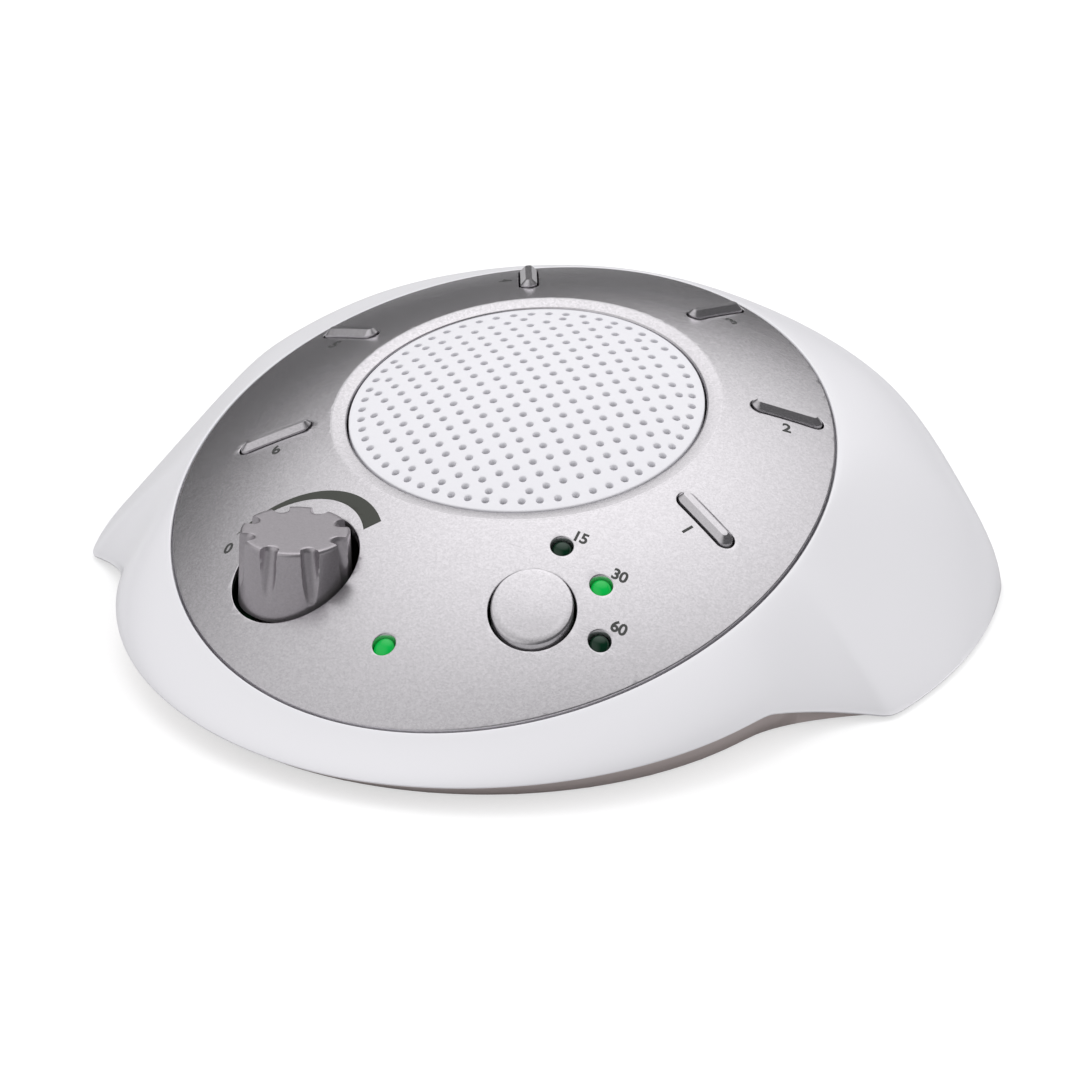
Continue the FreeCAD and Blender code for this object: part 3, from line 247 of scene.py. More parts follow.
def grain_group():
    """Faint grain of a moulded surface, with a slow drift in tone as on handled plastic."""
    group, inputs, outputs = new_group("moulded_grain", [("Scale", 1400.0), ("Contrast", 0.03)])
    links = group.links
    place = add(group, "TexCoord")
    grain = add(group, "TexNoise")
    grain.inputs["Detail"].default_value = 4.0
    drift = add(group, "TexNoise")
    drift.inputs["Scale"].default_value = 22.0
    centre = add(group, "Math", operation="SUBTRACT")
    centre.inputs[1].default_value = 0.5
    tone = add(group, "Math", operation="MULTIPLY_ADD")
    tone.inputs[2].default_value = 1.0
    links.new(place.outputs["Object"], grain.inputs["Vector"])
    links.new(place.outputs["Object"], drift.inputs["Vector"])
    links.new(inputs.outputs["Scale"], grain.inputs["Scale"])
    links.new(drift.outputs["Fac"], centre.inputs[0])
    links.new(centre.outputs[0], tone.inputs[0])
    links.new(inputs.outputs["Contrast"], tone.inputs[1])
    links.new(tone.outputs[0], outputs.inputs["Tone"])
    links.new(grain.outputs["Fac"], outputs.inputs["Bump"])
    return group


METAL_FLAKE = flake_group()
MOULDED_GRAIN = grain_group()

# %% [markdown]
# A finish is one Principled shader. The group's tone multiplies its colour, and the group's bump tilts
# its surface a little. Numbers that are the same all over sit on the shader itself.

# %% One maker of finishes
FLAKE_HEIGHT = 0.05


def srgb(red, green, blue):
    """Colour of a picture, 0 to 255, as the linear values that a shader reads."""
    values = []
    for value in (red, green, blue):
        share = value / 255
        values.append(share / 12.92 if share <= 0.04045 else ((share + 0.055) / 1.055) ** 2.4)
    return (*values, 1.0)


def finish(name, colour, group, scale, contrast, bump, **shader):
    """Material of one colour with a shared effect in its tone and bump."""
    material = bpy.data.materials.new(name)
    material.use_nodes = True
    tree = material.node_tree
    links = tree.links
    principled = tree.nodes["Principled BSDF"]
    for socket, value in shader.items():
        principled.inputs[socket.replace("_", " ")].default_value = value
    effect = add(tree, "Group", node_tree=group)
    effect.inputs["Scale"].default_value = scale
    effect.inputs["Contrast"].default_value = contrast
    tint = add(tree, "VectorMath", operation="SCALE")
    tint.inputs[0].default_value = colour[:3]
    relief = add(tree, "Bump")
    relief.inputs["Strength"].default_value = bump
    relief.inputs["Distance"].default_value = FLAKE_HEIGHT * MM
    links.new(effect.outputs["Tone"], tint.inputs["Scale"])
    links.new(tint.outputs["Vector"], principled.inputs["Base Color"])
    links.new(effect.outputs["Bump"], relief.inputs["Height"])
    links.new(relief.outputs["Normal"], principled.inputs["Normal"])
    return material


FINISHES = {
    "white_housing": finish("white_shell", srgb(228, 227, 231), MOULDED_GRAIN, 1600, 0.03, 0.05,
                            Roughness=0.3, Coat_Weight=0.15, Coat_Roughness=0.15),
    "grey_housing": finish("grey_base", srgb(192, 180, 178), MOULDED_GRAIN, 1200, 0.08, 0.25,
                           Roughness=0.6),
    "rubber": finish("black_rubber", srgb(38, 37, 38), MOULDED_GRAIN, 2500, 0.1, 0.4, Roughness=0.85),
    "steel": finish("plain_steel", srgb(190, 188, 184), METAL_FLAKE, 2500, 0.08, 0.1,
                    Metallic=1.0, Roughness=0.35),
    "nickel": finish("nickel_plate", srgb(205, 200, 192), METAL_FLAKE, 2500, 0.06, 0.08,
                     Metallic=1.0, Roughness=0.25),
    "cell_sleeve": finish("cell_sleeve", srgb(52, 56, 60), MOULDED_GRAIN, 900, 0.1, 0.05, Roughness=0.3),
    "black_plastic": finish("black_plastic", srgb(32, 32, 33), MOULDED_GRAIN, 1600, 0.1, 0.2,
                            Roughness=0.5),
    "silver_paint": finish("silver_paint", srgb(216, 213, 217), METAL_FLAKE, 3200, 0.13, 0.14,
                           Metallic=0.97, Roughness=0.27),
    "key_paint": finish("key_paint", srgb(212, 209, 213), METAL_FLAKE, 3600, 0.1, 0.08,
                        Metallic=0.95, Roughness=0.24),
    "white_grille": finish("white_grille", srgb(226, 225, 230), MOULDED_GRAIN, 1800, 0.02, 0.1,
                           Roughness=0.5),
    "green_lens": finish("dark_lens", srgb(0, 40, 22), MOULDED_GRAIN, 600, 0.05, 0.0, Roughness=0.12),
    "circuit_board": finish("circuit_board", srgb(28, 84, 52), MOULDED_GRAIN, 700, 0.3, 0.1,
                            Roughness=0.4),
    "paper_cone": finish("paper_cone", srgb(44, 44, 46), MOULDED_GRAIN, 1900, 0.15, 0.6, Roughness=0.8),
}
LIT_LENS = finish("lit_lens", srgb(0, 140, 60), MOULDED_GRAIN, 600, 0.05, 0.0,
                  Roughness=0.12, Emission_Color=srgb(0, 170, 60), Emission_Strength=0.5)
KNOB_PAINT = finish("knob_paint", srgb(182, 177, 182), METAL_FLAKE, 3600, 0.1, 0.08,
                    Metallic=0.85, Roughness=0.3)
PRINT_INK = finish("print_ink", srgb(62, 63, 62), MOULDED_GRAIN, 2600, 0.1, 0.1, Roughness=0.6)
OLIVE_INK = finish("olive_ink", srgb(60, 62, 56), MOULDED_GRAIN, 2600, 0.06, 0.1, Roughness=0.55)
print("finishes:", len(bpy.data.materials))


def dress(piece, slot_name, body, *nodes, material=None):
    """Give a piece its finish, the body it moves with and the model nodes that it stands for."""
    piece.data.materials.clear()
    piece.data.materials.append(material or FINISHES[slot_name])
    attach(piece, body)
    if nodes:
        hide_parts(*nodes)
    print(piece.name, "faces:", len(piece.data.polygons))


# %% [markdown]
# The model's own parts keep their shapes. Each takes the finish that the record names for it.

# %% Finish the model's own parts
for part in frame["record"]["subparts"]:
    node = frame["nodes"][part["node"]]
    node.data.materials.clear()
    node.data.materials.append(FINISHES[part["material_slot"]])

# %% [markdown]
# ## The white shell
# The shell is one moulding: a round front, a hollow at each side, a wing that comes down to the table and
# a wide back. We walk round its outline and draw one closed section at each step, from the panel's rim
# over the outside, round the lower edge and up the inside. A grid primitive is then bent through them.

# %% Outline of the shell seen from above
FRONT_RADIUS = 67.3
FRONT_CENTRE_Y = -11.45
FRONT_ARC_END = math.radians(-19.2)
WING_TIP = Vector((79.7, -13.35))
WING_SWEEP = math.radians(28)
HOLLOW_REACH = 9.0
SIDE_RADIUS = 83.25
SIDE_CENTRE = Vector((0, 14.85))
WING_HEEL = Vector((79.4, 45.45))
REAR_Y = 78.75
EDGE_FRONT = 3.9
EDGE_SIDE = 7.4
EDGE_GROUND = 0.6


def front_arc(share):
    """Round front, from the middle to where the hollow starts."""
    angle = -math.pi / 2 + share * (FRONT_ARC_END + math.pi / 2)
    edge = EDGE_FRONT + (EDGE_SIDE - EDGE_FRONT) * share ** 1.5
    return FRONT_RADIUS * math.cos(angle), FRONT_CENTRE_Y + FRONT_RADIUS * math.sin(angle), edge


def hollow(share):
    """Curve from the round front out to the wing's tip."""
    start = Vector(front_arc(1)[:2])
    first = start + Vector((-math.sin(FRONT_ARC_END), math.cos(FRONT_ARC_END))) * HOLLOW_REACH
    second = WING_TIP - Vector((math.cos(WING_SWEEP), math.sin(WING_SWEEP))) * HOLLOW_REACH
    back = 1 - share
    spot = start * back ** 3 + first * 3 * share * back ** 2 + second * 3 * share ** 2 * back
    spot += WING_TIP * share ** 3
    return spot.x, spot.y, EDGE_GROUND + (EDGE_SIDE - EDGE_GROUND) * back ** 1.2


def side_arc(share):
    """Side of the wing, from its tip to its heel."""
    tip = WING_TIP - SIDE_CENTRE
    heel = WING_HEEL - SIDE_CENTRE
    start = math.atan2(tip.y, tip.x)
    angle = start + share * (math.atan2(heel.y, heel.x) - start)
    reach = SIDE_RADIUS + (tip.length - SIDE_RADIUS) * (1 - share) ** 2
    reach += (heel.length - SIDE_RADIUS) * share ** 2
    return reach * math.cos(angle), SIDE_CENTRE.y + reach * math.sin(angle), EDGE_GROUND


def rear_arc(share):
    """Wide back, from the heel to the middle."""
    centre = (WING_HEEL.x ** 2 + WING_HEEL.y ** 2 - REAR_Y ** 2) / (2 * (WING_HEEL.y - REAR_Y))
    radius = REAR_Y - centre
    heel = math.atan2(WING_HEEL.y - centre, WING_HEEL.x)
    angle = heel + share * (math.pi / 2 - heel)
    return radius * math.cos(angle), centre + radius * math.sin(angle), EDGE_GROUND


def outline(way):
    """Point at way 0 (front middle) to 4 (rear middle) on the right, and on to 8 down the left."""
    way = way % 8
    if way > 4:
        x, y, edge = outline(8 - way)
        return -x, y, edge
    stretch = min(int(way), 3)
    return (front_arc, hollow, side_arc, rear_arc)[stretch](way - stretch)


def soft_outline(way, reach=0.07):
    """Outline with its corners rounded: the mean of a few points on either side."""
    shares = [(-1, 1), (-0.66, 2), (-0.33, 3), (0, 4), (0.33, 3), (0.66, 2), (1, 1)]
    spots = [Vector(outline(way + offset * reach)) * weight for offset, weight in shares]
    return sum(spots, Vector((0, 0, 0))) / sum(weight for offset, weight in shares)


# %% One section of the shell
PANEL_HALF_WIDTH = 58.6
PANEL_HALF_DEPTH = 66.8
PANEL_Y = -3.1
PANEL_THICK = 1.8
PARTING = 0.35
LIP = 0.45
WALL = 2.2
LEDGE_REACH = 1.1
LEDGE_THICK = 1.95
LEDGE_PLAY = 0.15
FACE_STEPS = 28
INSIDE_STEPS = 12


def ease(value, knots):
    """Smooth look-up in a list of (position, value)."""
    for (low, first), (high, last) in zip(knots, knots[1:]):
        if value <= high:
            share = min(1.0, max(0.0, (value - low) / (high - low)))
            share = share * share * (3 - 2 * share)
            return first + (last - first) * share
    return knots[-1][1]


class Section:
    """Upright plane from the panel's rim out to one point of the outline."""

    def __init__(self, way):
        x, y, self.edge = soft_outline(way)
        turn = math.atan2((y - PANEL_Y) / PANEL_HALF_DEPTH, x / PANEL_HALF_WIDTH)
        self.rim = Vector((PANEL_HALF_WIDTH * math.cos(turn), PANEL_Y + PANEL_HALF_DEPTH * math.sin(turn)))
        self.reach = (Vector((x, y)) - self.rim).length
        self.out = (Vector((x, y)) - self.rim).normalized()
        self.turn = math.degrees(turn)
        if self.turn < -90:
            self.turn = -180 - self.turn
        if self.turn > 90:
            self.turn = 180 - self.turn

    def at(self, distance, height):
        """Point at a distance outwards from the rim."""
        spot = self.rim + self.out * distance
        return Vector((spot.x, spot.y, height))

    def on_dome(self, distance, depth=0.0):
        """Point below the dome at a distance outwards from the rim."""
        spot = self.rim + self.out * distance
        return Vector((spot.x, spot.y, dome(spot.x, spot.y, depth)))

    def face(self, inset):
        """Four poles of the wall's outer face, or of its inner face when inset."""
        follow = ease(self.turn, [(-90, 0.6), (-35, 0.6), (5, 0.1), (50, 0.9), (90, 0.5)])
        shoulder = ease(self.turn, [(-90, 0.46), (-35, 0.46), (5, 0.1), (50, 0.86), (90, 0.68)])
        lean = ease(self.turn, [(-90, 0.3), (-35, 0.3), (5, 1.2), (90, 0.0)])
        start = self.on_dome(PARTING + LIP)
        slope = self.on_dome(1).z - self.on_dome(0).z
        first = start.z + slope * follow * self.reach
        second = self.edge + shoulder * (first - self.edge)
        if not inset:
            return [start, self.at(follow * self.reach, first), self.at(self.reach - lean, second),
                    self.at(self.reach, self.edge)]
        drop = PANEL_THICK + LEDGE_PLAY + LEDGE_THICK
        ratio = (self.reach - inset) / self.reach
        return [self.on_dome(-0.5, drop), self.at(follow * self.reach * ratio, first - drop * 0.9),
                self.at(self.reach - lean - inset, second - inset * 0.5),
                self.at(self.reach - inset, self.edge)]


def along(poles, share):
    """Point on a curve with four poles."""
    back = 1 - share
    return (poles[0] * back ** 3 + poles[1] * 3 * share * back ** 2 + poles[2] * 3 * share ** 2 * back
            + poles[3] * share ** 3)


def shell_section(way):
    """Closed section: gap wall, rounded lip, outside, lower edge, inside and ledge."""
    plane = Section(way)
    outside = plane.face(0)
    inside = plane.face(WALL)
    ledge = PANEL_THICK + LEDGE_PLAY
    points = [plane.on_dome(PARTING, ledge), plane.on_dome(PARTING, LIP)]
    for degrees in (25, 50, 75):
        turn = math.radians(degrees)
        points.append(plane.on_dome(PARTING + LIP * (1 - math.cos(turn)), LIP * (1 - math.sin(turn))))
    points += [along(outside, number / FACE_STEPS) for number in range(FACE_STEPS)]
    lower = plane.edge
    points += [plane.at(plane.reach - 0.02, lower + 0.35), plane.at(plane.reach - 0.12, lower + 0.12),
               plane.at(plane.reach - 0.4, lower), plane.at(plane.reach - WALL, lower)]
    points += [along(inside, 1 - number / INSIDE_STEPS) for number in range(1, INSIDE_STEPS + 1)]
    points += [plane.on_dome(-LEDGE_REACH, ledge + LEDGE_THICK), plane.on_dome(-LEDGE_REACH, ledge),
               points[0]]
    return points


# %% Bend the shell
STEPS_ROUND = 384
WAYS = [8 * number / STEPS_ROUND for number in range(STEPS_ROUND + 1)]
shell = bent_sheet("white_shell", [shell_section(way) for way in WAYS])
smooth(shell, 40)

# %% [markdown]
# The mains adaptor plugs in at the back. A cylinder cuts the round hole for the inlet.

# %% Hole for the inlet
JACK_X = 25.0
JACK_Z = 12.0
JACK_HOLE = 4.7
JACK_CUT = 24


def cut(piece, cutter):
    """Take the cutter's shape out of a piece and delete the cutter."""
    only(piece)
    bpy.ops.object.modifier_add(type="BOOLEAN")
    change = piece.modifiers[-1]
    change.operation = "DIFFERENCE"
    change.object = cutter
    change.solver = "EXACT"
    bpy.ops.object.modifier_apply(modifier=change.name)
    only(cutter)
    bpy.ops.object.delete()


bpy.ops.object.select_all(action="DESELECT")
bpy.ops.mesh.primitive_cylinder_add(vertices=64, radius=JACK_HOLE * MM, depth=JACK_CUT * MM,
                                    rotation=(math.pi / 2, 0, 0),
                                    location=(JACK_X * MM, REAR_Y * MM, JACK_Z * MM))
cut(shell, bpy.context.object)
smooth(shell, 40)
dress(shell, "white_housing", "housing", "upper_housing")

# %% [markdown]
# ## The grey base
# Under the white edge the base shows as a narrow leaning band. The model's tray is straight between its
# sections, so a smooth band goes over its wall.

# %% Band round the base
FOOT_INSET = 5.5
FOOT_FLARE = 2.4
FOOT_LEVEL = 0.4
TOP_INSET = 0.6
TOP_LEVEL = 3.9
TOP_GAP = 0.1


def base_section(way):
    """Closed section of the band, from its foot up to the shell's lower edge."""
    plane = Section(way)
    place = way if way <= 4 else 8 - way
    tuck = ease(place, [(0, 0), (1.15, 0), (1.5, 1), (4, 1)])
    foot = FOOT_INSET - FOOT_FLARE * ease(place, [(0, 0), (1.0, 0), (1.9, 1), (2.1, 1), (2.3, 0), (4, 0)])
    inset = TOP_INSET + (foot - TOP_INSET) * tuck
    top = plane.edge - TOP_GAP
    if tuck >= 0.5:
        top = max(top, TOP_LEVEL)
    low = FOOT_LEVEL
    return [
        plane.at(plane.reach - foot - 0.5, low + 0.02),
        plane.at(plane.reach - foot - 0.1, low),
        plane.at(plane.reach - foot + 0.05, low + 0.12),
        plane.at(plane.reach - inset - 0.02, top - 0.15),
        plane.at(plane.reach - inset - 0.15, top),
        plane.at(plane.reach - inset - 0.7, top),
        plane.at(plane.reach - foot - 0.5, low + 0.02),
    ]


band = bent_sheet("grey_band", [base_section(way) for way in WAYS])
smooth(band, 40)
dress(band, "grey_housing", "housing")

# %% [markdown]
# ## The silver panel
# The panel is a thin oval moulding with rounded hole edges. A filled flat curve gives the oval and all
# the holes at once, its bevel rounds every edge, and the result is laid on the dome.

# %% Places of the controls
SPEAKER_Y = 6.85
BEZEL_OUTER = 35.6
GRILLE_RADIUS = 32.4
KEY_CIRCLE = 46.6
KEY_CIRCLE_Y = 9.05
KEY_ANGLES = [-25.0, 20.5, 66.0, 114.0, 159.5, 205.0]
KEY_LENGTH = 12.8
KEY_WIDTH = 3.1
SLOT_GAP = 0.35
TIMER = (22.4, -42.4)
TIMER_RADIUS = 7.3
KNOB = (-23.1, -43.1)
WELL_RADIUS = 11.4
LENS_RADIUS = 1.9
LENS_HOLE = 2.05
TIMER_GAP = 0.55
HOLE_EDGE = 0.16
LAMPS = {"power_led": (0.0, -55.9), "timer_led_15": (22.2, -28.7), "timer_led_30": (31.6, -33.1),
         "timer_led_60": (35.5, -43.0)}
LIT = ("power_led", "timer_led_30")


def key_place(degrees):
    """Middle of the key on this spoke."""
    turn = math.radians(degrees)
    return KEY_CIRCLE * math.cos(turn), KEY_CIRCLE_Y + KEY_CIRCLE * math.sin(turn)


oval = [(PANEL_HALF_WIDTH * math.cos(turn), PANEL_Y + PANEL_HALF_DEPTH * math.sin(turn))
        for turn in (2 * math.pi * number / 320 for number in range(320))]
openings = [circle(0, SPEAKER_Y, BEZEL_OUTER, 240), circle(*TIMER, TIMER_RADIUS + TIMER_GAP),
            circle(*KNOB, WELL_RADIUS, 128)]
openings += [slot(*key_place(angle), KEY_LENGTH + 2 * SLOT_GAP, KEY_WIDTH + 2 * SLOT_GAP, angle)
             for angle in KEY_ANGLES]
openings += [circle(*place, LENS_HOLE, 48) for place in LAMPS.values()]
panel = plate("silver_panel", [oval] + openings, 0.0, PANEL_THICK, HOLE_EDGE)
dress(panel, "silver_paint", "housing", "control_panel")

# %% [markdown]
# Round the grille the panel carries a ring that slopes down to it. It is turned about the grille's axis,
# with every point measured down from the dome.

# %% Sloping ring round the grille
SPEAKER_STEPS = 256


def dome_ring(name, profile, centre_y, steps):
    """Ring about the grille's middle, from (radius, depth under the dome) points."""
    sections = []
    for number in range(steps + 1):
        turn = 2 * math.pi * number / steps
        section = []
        for radius, depth in profile:
            x = radius * math.cos(turn)
            y = centre_y + radius * math.sin(turn)
            section.append((x, y, dome(x, y, depth)))
        sections.append(section)
    return bent_sheet(name, sections)


ring_profile = [(BEZEL_OUTER + 0.4, 0.6), (BEZEL_OUTER + 0.4, 0.02), (BEZEL_OUTER - 0.1, 0.02),
                (BEZEL_OUTER - 0.25, 0.06), (34.3, 0.42), (33.2, 0.8), (32.95, 0.92), (32.82, 1.1),
                (32.8, 1.3), (32.8, 2.4), (34.0, 2.4), (34.0, 0.6), (BEZEL_OUTER + 0.4, 0.6)]
bezel = dome_ring("speaker_bezel", ring_profile, SPEAKER_Y, SPEAKER_STEPS)
smooth(bezel, 40)
dress(bezel, "silver_paint", "housing")

# %% [markdown]
# ## The perforated grille
# The holes stand in staggered rows, and one round row follows the edge. One flat curve holds them all,
# and its bevel gives each hole the soft mouth that moulded holes have.

# %% Grille with its holes
HOLE_RADIUS = 0.7
HOLE_PITCH = 4.59
HOLE_FIELD = 28.2
HOLE_RING = 30.1
HOLE_RING_COUNT = 58
GRILLE_DEPTH = 1.0
GRILLE_THICK = 1.9
GRILLE_EDGE = 0.2


def hole_places():
    """Middles of the holes about the grille's own middle."""
    count = int(HOLE_FIELD / HOLE_PITCH) + 1
    places = []
    for row in range(-2 * count, 2 * count + 1):
        for column in range(-count, count + 1):
            x = column * HOLE_PITCH + (HOLE_PITCH / 2 if row % 2 else 0)
            y = row * HOLE_PITCH / 2
            if math.hypot(x, y) <= HOLE_FIELD:
                places.append((x, y))
    return places + circle(0, 0, HOLE_RING, HOLE_RING_COUNT)


rim = circle(0, SPEAKER_Y, GRILLE_RADIUS, 240)
mouths = [circle(x, y + SPEAKER_Y, HOLE_RADIUS, 16) for x, y in hole_places()]
grille = plate("white_grille", [rim] + mouths, GRILLE_DEPTH, GRILLE_THICK, GRILLE_EDGE, cell=HOLE_PITCH / 2)
print("grille holes:", len(mouths))
dress(grille, "white_grille", "housing", "speaker_grille")

# %% [markdown]
# ## Keys
# Each sound key is a slim bar with a wide bevel along its top, standing proud of its slot. One is made
# for each spoke of the circle. It moves with its own body when pressed.

# %% Sound keys
KEY_PROUD = 1.3
KEY_CHAMFER = 0.95
KEY_HEIGHT = 4.4
KEY_SOFT_EDGE = 0.12
UNCUT = 80.0
for number, angle in enumerate(KEY_ANGLES, start=1):
    bar = plate("key_cap_%d" % number, [slot(*key_place(angle), KEY_LENGTH, KEY_WIDTH, angle)],
                -KEY_PROUD, KEY_HEIGHT, KEY_CHAMFER, cell=UNCUT, steps=0)
    only(bar)
    bpy.ops.object.modifier_add(type="BEVEL")
    soft_edge = bar.modifiers[-1]
    soft_edge.width = KEY_SOFT_EDGE * MM
    soft_edge.segments = 3
    soft_edge.limit_method = "ANGLE"
    soft_edge.angle_limit = math.radians(30)
    bpy.ops.object.modifier_apply(modifier=soft_edge.name)
    smooth(bar, 40)
    even_normals(bar)
    dress(bar, "key_paint", "key_%d" % number, "sound_key_%d" % number)

# %% [markdown]
# ## Timer button
# A round button with a soft edge and a slightly crowned top. It follows the slope of the dome.

# %% Timer button
TIMER_PROUD = 0.9
TIMER_EDGE = 0.4
TIMER_DEEP = 3.0
TIMER_CROWN = [(6.0, 0), (4.5, 0.08), (3.0, 0.13), (1.5, 0.16), (0, 0.17)]


def dome_button(name, profile, x, y, steps):
    """Round piece whose (radius, height) points are measured up from the dome."""
    sections = []
    for number in range(steps + 1):
        turn = 2 * math.pi * number / steps
        section = []
        for radius, height in profile:
            spot_x = x + radius * math.cos(turn)
            spot_y = y + radius * math.sin(turn)
            section.append((spot_x, spot_y, dome(spot_x, spot_y, -height)))
        sections.append(section)
    return bent_sheet(name, sections)


timer_profile = [(0, -TIMER_DEEP), (TIMER_RADIUS, -TIMER_DEEP),
                 (TIMER_RADIUS, TIMER_PROUD - TIMER_EDGE)]
for degrees in (20, 40, 60, 80):
    turn = math.radians(degrees)
    timer_profile.append((TIMER_RADIUS - TIMER_EDGE * (1 - math.cos(turn)),
                          TIMER_PROUD - TIMER_EDGE * (1 - math.sin(turn))))
timer_profile += [(radius, TIMER_PROUD + rise) for radius, rise in TIMER_CROWN]
timer_cap = dome_button("timer_cap", timer_profile, *TIMER, 128)
smooth(timer_cap, 40)
dress(timer_cap, "silver_paint", "timer", "timer_button")

# %% [markdown]
# ## Volume knob
# Flutes for the fingers run down the knob's side. Each is the trace of a round cutter that leans in at
# the top and runs out to a point further down. The knob's radius at an angle and height is the softer of
# the plain side and that trace, so the flute's edges come out rounded.

# %% Volume knob
KNOB_TOP = 30.8
KNOB_FOOT = 17.2
KNOB_RADIUS = 9.8
KNOB_FOOT_RADIUS = 10.3
KNOB_EDGE = 0.55
FLUTES = 8
FLUTE_FIRST = math.radians(-94)
FLUTE_RADIUS = 1.6
FLUTE_DEPTH = 2.1
FLUTE_LENGTH = 10.0
FLUTE_BLEND = 0.3
KNOB_STEPS = 512
KNOB_ROWS = 40


def soft_less(first, second, blend):
    """The smaller of two values, with a rounded change from one to the other."""
    share = max(blend - abs(first - second), 0.0) / blend
    return min(first, second) - share * share * blend / 4


def knob_radius(turn, z):
    """Radius of the knob's side at an angle and height."""
    rise = (z - KNOB_FOOT) / (KNOB_TOP - KNOB_FOOT)
    plain = KNOB_FOOT_RADIUS + (KNOB_RADIUS - KNOB_FOOT_RADIUS) * rise
    deep = FLUTE_DEPTH * max(0.0, 1 - (KNOB_TOP - z) / FLUTE_LENGTH)
    step = 2 * math.pi / FLUTES
    off = (turn - FLUTE_FIRST + step / 2) % step - step / 2
    centre = plain - deep + FLUTE_RADIUS
    inside = FLUTE_RADIUS ** 2 - (centre * math.sin(off)) ** 2
    if inside <= 0 or deep <= 0:
        return plain
    return soft_less(plain, centre * math.cos(off) - math.sqrt(inside), FLUTE_BLEND)


def knob_section(turn):
    """Foot, side, rounded shoulder and flat top of the knob at one angle."""
    points = [(0, KNOB_FOOT), (knob_radius(turn, KNOB_FOOT), KNOB_FOOT)]
    side = KNOB_TOP - KNOB_EDGE - KNOB_FOOT
    heights = [KNOB_FOOT + side * number / KNOB_ROWS for number in range(1, KNOB_ROWS + 1)]
    points += [(knob_radius(turn, z), z) for z in heights]
    edge = knob_radius(turn, KNOB_TOP)
    for degrees in (22.5, 45, 67.5, 90):
        bend = math.radians(degrees)
        points.append((edge - KNOB_EDGE * (1 - math.cos(bend)),
                       KNOB_TOP - KNOB_EDGE * (1 - math.sin(bend))))
    points += [((edge - KNOB_EDGE) * share, KNOB_TOP) for share in (0.94, 0.85, 0.7, 0.4, 0)]
    return [(KNOB[0] + r * math.cos(turn), KNOB[1] + r * math.sin(turn), z) for r, z in points]


knob = bent_sheet("volume_knob_cap", [knob_section(2 * math.pi * number / KNOB_STEPS)
                                      for number in range(KNOB_STEPS + 1)])
smooth(knob, 50)
dress(knob, "key_paint", "volume", "volume_knob", material=KNOB_PAINT)

# %% [markdown]
# ## Indicator lamps
# Four green lamps look out through round holes. Two are lit. Each is a dome on a short body with a foot
# flange, so it is turned from one profile.

# %% Lamps
LENS_CROWN = 1.3
LENS_TOP = -0.05
LENS_BODY = 3.4
LENS_FLANGE = 0.3
LENS_FLANGE_THICK = 0.8
lens_foot = LENS_TOP - LENS_CROWN - LENS_BODY
for name, (x, y) in LAMPS.items():
    lens_profile = [(0, lens_foot), (LENS_RADIUS + LENS_FLANGE, lens_foot),
                    (LENS_RADIUS + LENS_FLANGE, lens_foot + LENS_FLANGE_THICK),
                    (LENS_RADIUS, lens_foot + LENS_FLANGE_THICK + 0.05)]
    for degrees in range(0, 91, 10):
        turn = math.radians(degrees)
        lens_profile.append((LENS_RADIUS * math.cos(turn), LENS_TOP - LENS_CROWN * (1 - math.sin(turn))))
    lens = dome_button(name + "_lens", lens_profile, x, y, 48)
    smooth(lens, 40)
    dress(lens, "green_lens", "housing", name, material=LIT_LENS if name in LIT else None)

# %% [markdown]
# ## Prints
# Plain numbers mark the keys, the timer's steps and the knob's zero, and a wedge that swells with the
# volume curves round the knob. They are cut from flat text and laid a hair above the panel.

# %% Numbers
INK = 0.03
BOLD = 0.09
DIGIT_SHARE = 0.7
DIGIT_SPACING = 0.95


def number_print(name, text, x, y, height, degrees):
    """Number laid on the dome, centred on x, y and turned."""
    bpy.ops.object.select_all(action="DESELECT")
    bpy.ops.object.text_add()
    words = bpy.context.object
    words.name = name
    words.data.body = text
    words.data.size = height / DIGIT_SHARE
    words.data.align_x = "CENTER"
    words.data.align_y = "CENTER"
    words.data.extrude = INK
    words.data.offset = BOLD
    words.data.space_character = DIGIT_SPACING
    bpy.ops.object.convert(target="MESH")
    flat = bpy.context.object
    spoke = Matrix.Rotation(math.radians(degrees), 4, "Z")
    for vertex in flat.data.vertices:
        vertex.co = spoke @ vertex.co + Vector((x, y, 0))
    weld(flat, 0.0005)
    lay_on_dome(flat, -INK, 2 * INK, 1.5)
    dress(flat, "black_plastic", "housing", material=PRINT_INK)
    return flat


LABEL_OFF_KEY = 4.5
KEY_DIGIT = 2.3
SMALL_DIGIT = 2.1
for number, angle in enumerate(KEY_ANGLES, start=1):
    x, y = key_place(angle)
    side = -1 if number <= 3 else 1
    turn = math.radians(angle)
    number_print("print_key_%d" % number, str(number), x - side * LABEL_OFF_KEY * math.sin(turn),
                 y + side * LABEL_OFF_KEY * math.cos(turn), KEY_DIGIT, angle if number <= 3 else angle - 180)
for name, text, x, y in (("print_15", "15", 24.5, -25.8), ("print_30", "30", 33.8, -30.0),
                         ("print_60", "60", 37.6, -39.4), ("print_off", "0", -38.5, -38.8)):
    number_print(name, text, x, y, SMALL_DIGIT, 0)

